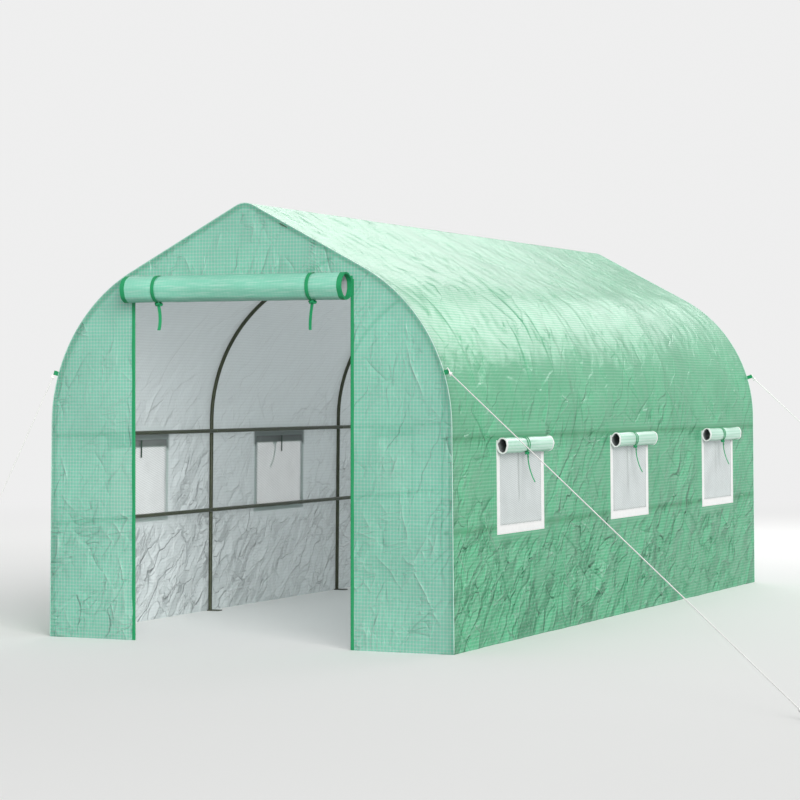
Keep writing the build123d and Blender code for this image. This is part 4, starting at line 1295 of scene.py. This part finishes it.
class TUNNEL_OT_piping(MakePiece, bpy.types.Operator):
    """Thin piping sewn along the seams between the cover's sides and its ends"""
    bl_idname = "tunnel.piping"
    bl_label = "Piping"

    def execute(self, context):
        x, z = outline(np.linspace(0.004, HALF_RUN, 120))[:2]
        right = list(zip(x, z))
        left = [(-a, b) for a, b in reversed(right[:-1])]
        for name, place in (("front_piping", FRONT + SEAM), ("rear_piping", HALF_LENGTH - SEAM)):
            path = [(a, place, b - 0.0004) for a, b in right + left]
            finish_piece(swept(name, path, 0.0020, 8), "piping", "white_tape")
        return {"FINISHED"}


# Shared shapes of the doorway and the windows

def door_place(out, up, along):
    """Points in front of the doorway: how far off its tapes, how high, and where across it (arrays)."""
    out, up, along = np.broadcast_arrays(out, up, along)
    return np.stack([along, FRONT - 0.001 - out, up], axis=-1)


def wall_places(left):
    """The same for a side wall: how far out of it, how far up it and where along the tunnel."""
    foot = leg_point(0, 0)
    turned = -1 if left else 1

    def place(out, up, along):
        out, up, along = np.broadcast_arrays(out, up, along)
        return np.stack([turned * (foot.x + LEG_OUT.x * out + LEG_UP.x * up), along,
                         LEG_OUT.z * out + LEG_UP.z * up], axis=-1)
    return place


def wound_cloth(name, path, spread, step, place, middle, relief, flip=False):
    """A sheet wound along a path, with the same soft relief on every turn."""
    flat = np.array([tuple(p) for p in path])
    lengths = np.concatenate([[0], np.cumsum(np.linalg.norm(np.diff(flat, axis=0), axis=1))])
    along = spaced(spread, step)
    turn = np.arctan2(flat[:, 1], flat[:, 0])
    weight = np.clip((np.arange(len(path)) - 2) / 12, 0, 1)
    push = relief(turn[:, None], along[None, :]) * weight[:, None]
    direction = flat / np.linalg.norm(flat, axis=1)[:, None]
    out, up = (middle[i] + flat[:, i, None] + direction[:, i, None] * push for i in (0, 1))
    points = place(out, up, along[None, :])
    obj = new_object(name, points.reshape(-1, 3), grid_faces(len(path), len(along), flip=flip))
    run, across = np.meshgrid(lengths, along, indexing="ij")
    set_uv(obj, np.stack([across, run], axis=-1))
    return obj


def round_roll(depth, drop, middle, start, steps):
    """The front of a strap round a roll, from an angle in degrees down to its opposite: (out, up) points."""
    path = []
    for i in range(steps + 1):
        turn = radians(start * (1 - 2 * i / steps))
        path.append((max(STRAP_LEAST, middle[0] + (depth / 2 + STRAP_OFF) * cos(turn)),
                     middle[1] + (drop / 2 + STRAP_OFF) * sin(turn)))
    return path


def tail_path(start, length, curl, lean, steps=14):
    """A hanging end: down from a point, curling outwards and leaning along the wall, as (out, up, along)."""
    path = []
    for i in range(steps + 1):
        share = i / steps
        turn = curl * share / 2
        path.append((start[0] + length * share * sin(turn), start[1] - length * share * cos(turn),
                     start[2] + length * lean * share * share))
    return path


def tape_strip(place, near, far, seed, flip):
    """A flat tape between two mitred ends, each an outer and an inner (up, along) corner."""
    shift = np.random.default_rng(seed).uniform(0, 6, 2)
    shares = np.linspace(0, 1, 5)
    run = hypot(far[0][0] - near[0][0], far[0][1] - near[0][1])
    count = max(2, round(run / 0.012))
    rows = []
    uvs = []
    for t in (i / count for i in range(count + 1)):
        outer, inner = (np.array(near[k]) * (1 - t) + np.array(far[k]) * t for k in (0, 1))
        line = outer[None, :] * (1 - shares[:, None]) + inner[None, :] * shares[:, None]
        wave = 0.0002 * (np.sin(run * t / 0.011 + shift[0]) + np.sin(run * t / 0.0273 + shift[1]))
        pucker = np.abs(wave) * np.cos(shares * pi) ** 2 + 0.0003 * np.sin(shares * pi)
        rows.append(place(TAPE_THICKNESS / 2 + 0.0002 + pucker, line[:, 0], line[:, 1]))
        uvs.append(np.stack([np.full(5, run * t), shares * TAPE], axis=-1))
    strip = new_object("side", np.array(rows).reshape(-1, 3), grid_faces(len(rows), 5, flip=flip))
    set_uv(strip, np.array(uvs))
    thicken(strip, TAPE_THICKNESS)
    return strip


class TUNNEL_OT_doorway(MakePiece, bpy.types.Operator):
    """Dark green tapes folded over the edges of the doorway"""
    bl_idname = "tunnel.doorway"
    bl_label = "Doorway tapes"

    # One face of the folded tape, as (how far in from the edge, how far off the cloth)
    face = [(0.0152, 0.0016), (0.010, 0.0019), (0.004, 0.0019), (0.0006, 0.0016), (-0.0007, 0.0008)]
    map_width = 0.0165

    def folded(self, name, start, finish, inward, seed):
        """One tape from start to finish, folded over the edge, whose cloth lies on the inward side."""
        start, finish, inward = Vector(start), Vector(finish), Vector(inward)
        shift = np.random.default_rng(seed).uniform(0, 6, 2)
        section = [*((reach, -deep) for reach, deep in self.face), (-0.0009, 0.0), *reversed(self.face)]
        fold = len(self.face)
        whole = (finish - start).length
        count = round(whole / 0.010)
        points = []
        uvs = []
        for i in range(count + 1):
            line = start.lerp(finish, i / count)
            length = whole * i / count
            wide = 1 + 0.05 * sin(length / 0.043 + shift[0])
            for k, (reach, deep) in enumerate(section):
                wave = 0.00025 * sin(length / 0.0085 + shift[1]) if k in (0, 2 * fold) else 0
                points.append(line + inward * (reach * wide) + Vector((0, deep + wave, 0)))
                uvs.append((length, self.map_width * abs(k - fold) / fold))
        tape = new_object(name, points, grid_faces(count + 1, len(section)))
        set_uv(tape, uvs)
        thicken(tape, 0.0007)
        return tape

    def execute(self, context):
        y = FRONT + 0.001
        left_foot, right_foot = (DOOR_LEFT, y, 0.0005), (DOOR_RIGHT, y, 0.0005)
        left_top, right_top = (DOOR_LEFT, y, DOOR_TOP), (DOOR_RIGHT, y, DOOR_TOP)
        tape = join([self.folded("left", left_foot, left_top, (-1, 0, 0), 1),
                     self.folded("right", right_foot, right_top, (1, 0, 0), 2),
                     self.folded("top", left_top, right_top, (0, 0, 1), 3)], "doorway_tapes")
        select_only(tape)
        bpy.ops.object.mode_set(mode="EDIT")
        bpy.ops.mesh.select_all(action="SELECT")
        bpy.ops.mesh.normals_make_consistent(inside=False)
        bpy.ops.object.mode_set(mode="OBJECT")
        deselect()
        finish_piece(tape, "green_tape", "green_webbing", "door_bindings")
        return {"FINISHED"}


class TUNNEL_OT_door_roll(MakePiece, bpy.types.Operator):
    """The rolled door flap with the dark tapes wound into its ends, and its straps with knots and tails"""
    bl_idname = "tunnel.door_roll"
    bl_label = "Door roll"

    depth = 0.119
    middle = (0.0605, 1.569)
    tape_width = 0.0218
    strap_places = (-0.398, 0.362)
    strap_thickness = 0.0014

    def relief(self, turn, along):
        """Soft dents of the roll: lengthwise folds, and a slight waist under each strap."""
        push = 0.0007 * np.sin(5 * turn + 0.9 * np.sin(2.1 * along + 0.4))
        push = push + 0.0006 * np.sin(9 * turn + 1.7 * np.sin(1.4 * along) + 2)
        push = push + 0.0006 * np.sin(along / 0.06 + 2 * turn) * np.sin(along / 0.11 + 1)
        for depth, line, width in ((0.0010, -0.55 - 0.12 * np.sin(3.1 * along), 0.05),
                                   (0.0008, 0.35 + 0.10 * np.sin(2.3 * along + 1), 0.04)):
            push = push - depth * hump(np.sin((turn - line) / 2), 0, width)
        for place in self.strap_places:
            push = push - 0.0022 * hump(along, place, 0.016)
        return push

    def strap(self, i, place):
        """One strap round the roll, its knot under the roll and its hanging tail."""
        loop = round_roll(self.depth, self.depth, self.middle, 170, 56)
        knot_height = self.middle[1] - self.depth / 2 - 0.0075
        knot_place = (place, FRONT - 0.001 - self.middle[0], knot_height)
        knot = tied_knot("knot", knot_place, 0.034, 0.024, 0.010, 0.0046)
        start = (self.middle[0], knot_height - 0.003, place + 0.001)
        tail = tail_path(start, 0.113 + 0.006 * i, 0.24, 0.02)
        bow = (0.010, -0.008)[i]
        tail = [door_place(out, up, along + bow * sin(pi * 0.75 * k / 14))
                for k, (out, up, along) in enumerate(tail)]
        return [ribbon("loop", [door_place(a, b, place) for a, b in loop], (1, 0, 0), 0.016,
                       self.strap_thickness),
                knot, ribbon("tail", tail, (1, 0.12 - 0.3 * i, 0), 0.0150, self.strap_thickness)]

    def execute(self, context):
        path = wound_path(4.4, 56, self.depth, self.depth, 0.0019, DOOR_TOP + 0.015 - self.middle[1])
        low, high = (corner[0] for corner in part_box("door_roll"))
        flap = wound_cloth("door_flap", path, (low - 0.004, high + 0.004), 0.014, door_place, self.middle,
                           self.relief)
        set_values(flap, tube_behind=np.zeros(len(flap.data.vertices)))
        finish_piece(flap, "flap", "rolled_flap", "door_roll")
        round(path_length(path), 3)
        tapes = []
        for spread in ((low - self.tape_width, low), (high, high + self.tape_width)):
            tapes.append(wound_cloth("end", path, spread, 0.0055, door_place, self.middle, self.relief))
            thicken(tapes[-1], 0.0014)
        finish_piece(join(tapes, "door_roll_tapes"), "webbing", "green_webbing", "door_roll_bindings")
        straps = [part for i, place in enumerate(self.strap_places) for part in self.strap(i, place)]
        finish_piece(join(straps, "door_straps_webbing"), "webbing", "green_webbing", "door_straps")
        return {"FINISHED"}


class TUNNEL_OT_windows(MakePiece, bpy.types.Operator):
    """Window nets, white tapes, rolled flaps with white ends, and their narrow ties"""
    bl_idname = "tunnel.windows"
    bl_label = "Windows"

    depth, drop = 0.053, 0.073
    middle = (0.0285, 0.877)
    tie_shift = -0.024
    under_tape = 0.006
    end_width = 0.0105

    def net(self, name, place, centre, left, seed):
        """The net in one window, a little slack."""
        hidden = NET_EDGE - self.under_tape
        half = WINDOW_HALF - hidden
        ups = spaced([WINDOW_LOW + hidden, WINDOW_HIGH - hidden], 0.010)
        alongs = spaced([centre - half, centre + half], 0.010)
        up, along = np.meshgrid(ups, alongs, indexing="ij")
        depth = -np.maximum(outside(up, ups[0], ups[-1]), outside(along, alongs[0], alongs[-1]))
        edge = np.clip(depth / 0.05, 0, 1)
        out = -0.0006 + edge * (0.0016 * ripples(along, up, 0.20, 8, seed) - 0.0035
                                + 0.0010 * np.sin((along + 0.45 * up) / 0.021))
        net = new_object(name, place(out, up, along).reshape(-1, 3), grid_faces(*up.shape, flip=left))
        set_uv(net, np.stack([along, up], axis=-1))
        # Painted shadow of the roll over the top of the net, shown on its inner face.
        set_values(net, roll_outside=np.clip((up - 0.842) / 0.006, 0, 1))
        return net

    def tape(self, place, centre, left, seed):
        """The white tape round one window, a little wider at the bottom."""
        low, high = WINDOW_LOW, WINDOW_HIGH
        near, far = centre - WINDOW_HALF, centre + WINDOW_HALF
        foot = low + TAPE + 0.003
        corners = [((low, near), (foot, near + TAPE)), ((low, far), (foot, far - TAPE)),
                   ((high, far), (high - TAPE, far - TAPE)), ((high, near), (high - TAPE, near + TAPE))]
        sides = [tape_strip(place, *ends, seed + i, not left)
                 for i, ends in enumerate(zip(corners, corners[1:] + corners[:1]))]
        return join(sides, "tape")

    def relief_at(self, centre, seed):
        """The soft shape of one roll: a waist at the tie, folds along it and slack ends."""
        shift = np.random.default_rng(seed).uniform(0, 6, 6)
        waist = centre + self.tie_shift

        def relief(turn, along):
            near = np.exp(-(np.abs(along - waist) / 0.035) ** 1.5)
            push = -0.0032 * near + 0.0006 * np.sin(3 * turn + 3 * along + shift[0])
            push = push + 0.0006 * np.sin(6 * turn + 1.3 * np.sin(9 * along + shift[1]) + shift[2])
            push = push + 0.0010 * near * np.cos(7 * turn + shift[3])
            push = push + 0.0008 * np.sin(along / 0.045 + shift[4] + turn) * (1 - near)
            dent = np.sin((turn + 0.5 + 0.2 * np.sin(11 * along + shift[5])) / 2)
            return push - 0.0010 * hump(dent, 0, 0.06)
        return relief

    def roll(self, side, i, place, centre, left, relief):
        """One rolled flap, and the two white ends wound with it."""
        path = wound_path(1.95, 44, self.depth, self.drop, 0.0030, WINDOW_HIGH - self.middle[1] - 0.002)
        low, high = centre - WINDOW_HALF, centre + WINDOW_HALF
        flap = wound_cloth(f"{side}_window_flap_{i + 1}", path, (low + 0.009, high - 0.009), 0.008, place,
                           self.middle, relief, flip=left)
        set_values(flap, tube_behind=np.zeros(len(flap.data.vertices)))
        finish_piece(flap, "window_flap", "rolled_flap", f"{side}_window_rolls")
        round(path_length(path), 3)
        ends = []
        for spread in ((low, low + self.end_width), (high - self.end_width, high)):
            ends.append(wound_cloth("end", path, spread, 0.0043, place, self.middle, relief, flip=left))
            thicken(ends[-1], 0.0022)
        return ends

    def tie(self, place, at):
        """The tie of one roll: two narrow loops, a knot under the roll, a long tail and a short one."""
        parts = []
        for shift in (-0.013, 0.013):
            loop = round_roll(self.depth - 0.005, self.drop - 0.005, self.middle, 168, 40)
            slant = np.clip((np.arange(len(loop)) - 22) / 12, 0, 1) * (0.024 - 0.9 * shift)
            points = [place(a, b, at + shift + lean) for (a, b), lean in zip(loop, slant)]
            parts.append(ribbon("loop", points, (0, 1, 0), 0.0078, 0.0013))
        out, up, along = self.middle[0] + 0.002, self.middle[1] - self.drop / 2, at + 0.026
        parts.append(tied_knot("knot", place(out, up - 0.0035, along), 0.016, 0.030, 0.009, 0.0030))
        for length, curl, lean in ((0.132, 0.50, 0.02), (0.020, 1.2, -0.9)):
            tail = tail_path((out, up - 0.006, along + 0.012), length, curl, lean)
            parts.append(ribbon("tail", [place(*p) for p in tail], (0.25, 1, 0), 0.0076, 0.0012))
        return parts

    def inner_tie(self, place, centre, length):
        """The loose tie that hangs inside, over one window; its material is painted dark as shade."""
        tail = tail_path((-0.0125, WINDOW_HIGH - 0.020, centre + 0.004), length, 0.02, 0.01)
        return ribbon("inner tie", [place(*p) for p in tail], (0, 1, 0), 0.0125, 0.0010)

    def execute(self, context):
        for left, side in ((False, "right"), (True, "left")):
            place = wall_places(left)
            tapes, ends, ties, inner_ties = [], [], [], []
            for i, centre in enumerate(WINDOW_CENTRES):
                seed = 100 + 10 * i + 50 * left
                net = self.net(f"{side}_net_{i + 1}", place, centre, left, seed)
                finish_piece(net, "net", "grey_net", f"{side}_window_nets")
                tapes.append(self.tape(place, centre, left, seed))
                ends += self.roll(side, i, place, centre, left, self.relief_at(centre, seed))
                ties += self.tie(place, centre + self.tie_shift)
                inner_ties.append(self.inner_tie(place, centre, 0.085 if left else 0.255))
            for parts, name, material, slot_name, node in (
                    (tapes, "window_tapes", "white_tape", "white_tape", "window_frames"),
                    (ends, "roll_ends", "tape", "white_tape", "window_rolls"),
                    (ties, "window_ties_webbing", "webbing", "green_webbing", "window_ties"),
                    (inner_ties, "inner_ties", "inner_tie", "green_webbing", "window_ties")):
                finish_piece(join(parts, f"{side}_{name}"), material, slot_name, f"{side}_{node}")
        return {"FINISHED"}


# The guy lines: front or rear, on the left or not, and where the peg stands (as on the right side)
GUYS = {
    "guy_rope_front_right": (True, False, (2.930, -3.740)),
    "guy_rope_front_left": (True, True, (1.585, -2.250)),
    "guy_rope_rear_right": (False, False, (2.285, 2.250)),
    "guy_rope_rear_left": (False, True, (2.930, 3.740)),
}


def guy_tab_point():
    """Where the tabs leave the right shoulder, and the direction out of the cover there."""
    x, z, nx, nz = (float(v) for v in outline(float(run_at(SHOULDER_LOW.z + 0.225))))
    return Vector((x, 0, z)), Vector((nx, 0, nz))


def half_turn(centre, start, axis, away, count):
    """Points on the half circle from a start point round a centre that passes on the away side of it."""
    arm = Vector(start) - centre
    angle = pi if (Matrix.Rotation(pi / 2, 3, axis) @ arm).dot(away) > 0 else -pi
    return [centre + Matrix.Rotation(angle * i / count, 3, axis) @ arm for i in range(count + 1)]


def resampled(path, step):
    """The same chain of straight runs with a point about every step."""
    points = [Vector(path[0])]
    for near, far in zip(path, path[1:]):
        count = max(1, round((far - near).length / step))
        points += [near.lerp(far, (i + 1) / count) for i in range(count)]
    return points


def curved(start, finish, knee):
    """A short bend between two points, pulled towards a third."""
    return [start * (1 - t) ** 2 + knee * 2 * t * (1 - t) + finish * t * t for t in (i / 8 for i in range(9))]


class TUNNEL_OT_guys(MakePiece, bpy.types.Operator):
    """Webbing tabs, twisted guy ropes with their knots, and hooked ground pegs"""
    bl_idname = "tunnel.guys"
    bl_label = "Guy lines"

    rope_radius = 0.0025
    hook_height = 0.018
    knot_reach = 0.020
    ring_reach = 0.030

    def tab(self, front, point, out):
        """A webbing tab sewn into the corner seam and folded back round the rope."""
        reach = 0.0210 if front else 0.0290
        base = point + ALONG * (FRONT + SEAM if front else HALF_LENGTH - SEAM)
        fold = base + out * reach
        side = out.cross(ALONG).normalized()
        leaf = [(-0.004, 0.0007), (reach * 0.4, 0.0009), (reach * 0.75, 0.0022)]
        path = [*(base + out * far - ALONG * off for far, off in leaf),
                *half_turn(fold, fold - ALONG * 0.0036, tuple(side), out, 12),
                *(base + out * far + ALONG * off for far, off in reversed(leaf))]
        return ribbon("tab", path, side, 0.020, 0.0013), fold, side

    def rope(self, name, path, twist):
        """A rope along a path, laid up from three strands."""
        def shape(length, turn):
            lobe = abs(cos(1.5 * (turn - 2 * pi * length / twist)))
            return self.rope_radius * (0.80 + 0.20 * lobe ** 0.6)
        return swept(name, path, self.rope_radius, 12, shape)

    def line(self, name, fold, side, hold, twist):
        """One guy rope from its loop through the tab to its loop round the peg, with its knots and ends."""
        run = (hold - fold).normalized()
        away = Vector((run.x, run.y, 0)).normalized()
        high_knot = fold + run * self.knot_reach
        drop = run.z * self.ring_reach / hypot(run.x, run.y)
        low_knot = hold - away * self.ring_reach - UP * drop
        first, last = fold + side * 0.0124, fold - side * 0.0124
        leave, back = high_knot + side * 0.001, high_knot - side * 0.001
        loop = [leave, *curved(leave, first, first + side * ((first - leave).length * 0.35)),
                *curved(last, back, last + (back - last) * 0.25)]
        loop = [p for i, p in enumerate(loop) if i == 0 or (p - loop[i - 1]).length > 0.0004]
        start = hold - away.cross(UP) * (0.0031 + self.rope_radius)
        path = [*loop, low_knot - run * 0.006, *half_turn(hold, start, (0, 0, 1), away, 14),
                low_knot + UP * 0.001]
        parts = [self.rope(name, resampled(path, 0.0022), twist), self.knot(high_knot, run),
                 self.knot(low_knot, run)]
        for centre, lean, rise in ((high_knot, 0.6, -0.020), (low_knot, -0.4, 0.016)):
            start = centre - UP * 0.003
            end = start + side * lean * 0.02 + ALONG * 0.004 + UP * rise
            tail = resampled([start, (start + end) / 2 + run * 0.002, end], 0.002)
            parts.append(self.rope("end", tail, twist))
        return join(parts, f"{name}_line")

    def knot(self, centre, run):
        """A round knot in the rope."""
        knot = tied_knot("knot", (0, 0, 0), 0.0125, 0.012, 0.0125, 0.0024)
        turn = run.to_track_quat("Z", "Y").to_matrix().to_4x4()
        knot.data.transform(Matrix.Translation(centre) @ turn)
        return knot

    def peg(self, peg, point, front):
        """A steel rod bent over into a hook, away from the tunnel."""
        away = Vector((peg.x - point.x, peg.y - (FRONT if front else HALF_LENGTH), 0)).normalized()
        start_tube(peg, UP, 0.003, 16)
        extend(UP * 0.032)
        bend(peg + UP * 0.032 + away * 0.011, UP.cross(away), pi, 20)
        rod = end_tube("peg")
        soften(rod, 0.0008, 2)
        return rod

    def execute(self, context):
        twist = self.sizes(context).rope_twist
        point, out = guy_tab_point()
        tabs, pegs = [], []
        for name, (front, on_left, (peg_x, peg_y)) in GUYS.items():
            turned = MIRROR if on_left else Matrix()
            peg = Vector((peg_x, peg_y, 0))
            tab, fold, side = self.tab(front, point, out)
            tabs.append(moved(tab, turned))
            line = moved(self.line(name, fold, side, peg + UP * self.hook_height, twist), turned)
            line.name = f"{name}_line"
            finish_piece(line, "rope", "guy_line", name)
            pegs.append(moved(self.peg(peg, point, front), turned))
        finish_piece(join(tabs, "guy_tabs_webbing"), "webbing", "green_webbing", "guy_tabs")
        finish_piece(join(pegs, "hooked_pegs"), "peg", "peg_steel", "ground_pegs")
        return {"FINISHED"}


# The stage

def seen_ray(wire):
    """1 for a ray from the camera, a reflection or a see-through surface, 0 for one that lights something."""
    path = wire.add("LightPath").outputs
    seen = wire.maths("MAXIMUM", path["Is Camera Ray"], path["Is Glossy Ray"])
    return wire.maths("MAXIMUM", seen, path["Is Transmission Ray"])


class TUNNEL_OT_stage(MakePiece, bpy.types.Operator):
    """A plain pale floor that fades into the backdrop, soft light and the camera"""
    bl_idname = "tunnel.stage"
    bl_label = "Stage"

    backdrop = (0.86, 0.86, 0.86)

    def floor(self, colour):
        """The floor, whose far part takes the backdrop's tone."""
        deselect()
        bpy.ops.mesh.primitive_circle_add(vertices=96, radius=70, fill_type="NGON", location=(0, 0, -0.0006))
        bpy.ops.object.transform_apply(location=True)
        floor = bpy.context.object
        floor.name = "studio_floor"
        material, wire, shader = start_material("studio floor", Roughness=0.9, Specular_IOR_Level=0.15)
        place = wire.place()
        pale = wire.mix(wire.noise(place, 0.6, 2.0)["Fac"], colour, tinted(colour, 0.985))
        wire.feed(shader.inputs["Base Color"], wire.mix(seen_ray(wire), tinted(colour, 0.36), pale))
        far = wire.spread(wire.vector("LENGTH", place), 5.0, 13.0, ease="SMOOTHSTEP")
        glow = wire.add("Emission", {"Color": self.backdrop, "Strength": 1.0})
        wire.mix_shaders(wire.times(far, seen_ray(wire)), shader, glow)
        floor.data.materials.append(material)

    def world(self):
        """An even sky of soft light, seen by the camera as the backdrop."""
        world = bpy.data.worlds.new("soft studio light")
        world.use_nodes = True
        wire = Wiring(world.node_tree)
        light = world.node_tree.nodes["Background"]
        wire.feed(light.inputs["Color"], (0.97, 0.985, 1.0))
        wire.feed(light.inputs["Strength"], 0.50)
        seen = wire.add("Background", {"Color": self.backdrop, "Strength": 1.0})
        wire.mix_shaders(seen_ray(wire), light, seen, "World Output")
        bpy.context.scene.world = world

    def lamp(self, name, kind, energy, place, aim, **settings):
        """A lamp at a place that shines towards its aim."""
        light = bpy.data.lights.new(name, kind)
        light.energy = energy
        for label, value in settings.items():
            setattr(light, label, value)
        lamp = bpy.data.objects.new(name, light)
        lamp.location = place
        lamp.rotation_euler = (Vector(place) - Vector(aim)).to_track_quat("Z", "Y").to_euler()
        bpy.context.scene.collection.objects.link(lamp)
        return lamp

    def camera(self):
        """The camera, as the fit to the photo found it."""
        camera = bpy.data.objects.new("camera", bpy.data.cameras.new("camera"))
        camera.location = (5.2081, -12.1593, 1.1189)
        camera.rotation_euler = (radians(90 - 0.2085), 0, radians(24.2229))
        camera.data.lens = 114.386
        camera.data.sensor_width = 36
        camera.data.clip_end = 200
        bpy.context.scene.collection.objects.link(camera)
        bpy.context.scene.camera = camera

    def execute(self, context):
        scene = context.scene
        self.floor(scene.polytunnel.colours.floor)
        self.world()
        self.lamp("key", "SUN", 3.45, (0.62, -0.68, 0.28), (0, 0, 0), angle=radians(40),
                  color=(1.0, 0.99, 0.97))
        for name, energy, place, aim, size in (
                ("roof_sheen", 140, (-3.0, 8.5, 6.3), (0.5, -1.5, 1.8), (4.5, 3.3)),
                ("side_sheen", 155, (2.5, 8.5, 5.4), (1.0, 0.0, 1.1), (6.0, 2.4))):
            softbox = self.lamp(name, "AREA", energy, place, aim, shape="RECTANGLE", size=size[0],
                                size_y=size[1])
            softbox.visible_camera = False
        self.camera()
        scene.view_settings.view_transform = "Standard"
        return {"FINISHED"}


# Panel and run

OPERATORS = (TUNNEL_OT_stage, TUNNEL_OT_hoops, TUNNEL_OT_rails, TUNNEL_OT_side_cover, TUNNEL_OT_end_panels,
             TUNNEL_OT_piping, TUNNEL_OT_doorway, TUNNEL_OT_door_roll, TUNNEL_OT_windows, TUNNEL_OT_guys)


class TUNNEL_PT_pieces(bpy.types.Panel):
    """The tunnel's settings and the operators that make its pieces"""
    bl_label = "Polytunnel"
    bl_space_type = "VIEW_3D"
    bl_region_type = "UI"
    bl_category = "Polytunnel"

    def draw(self, context):
        settings = context.scene.polytunnel
        for group in (settings.sizes, settings.colours):
            for name in group.__annotations__:
                self.layout.prop(group, name)
        for operator in OPERATORS:
            self.layout.operator(operator.bl_idname)


CLASSES = (TunnelSizes, TunnelColours, TunnelSettings, *OPERATORS, TUNNEL_PT_pieces)


def register():
    """Adds the settings, the operators and the panel."""
    for made in CLASSES:
        bpy.utils.register_class(made)
    bpy.types.Scene.polytunnel = bpy.props.PointerProperty(type=TunnelSettings)


def unregister():
    """Takes them away again."""
    del bpy.types.Scene.polytunnel
    for made in reversed(CLASSES):
        bpy.utils.unregister_class(made)


def main():
    """Makes every piece in order."""
    register()
    make_materials()
    for operator in OPERATORS:
        group, name = operator.bl_idname.split(".")
        getattr(getattr(bpy.ops, group), name)()


if __name__ == "__main__":
    main()
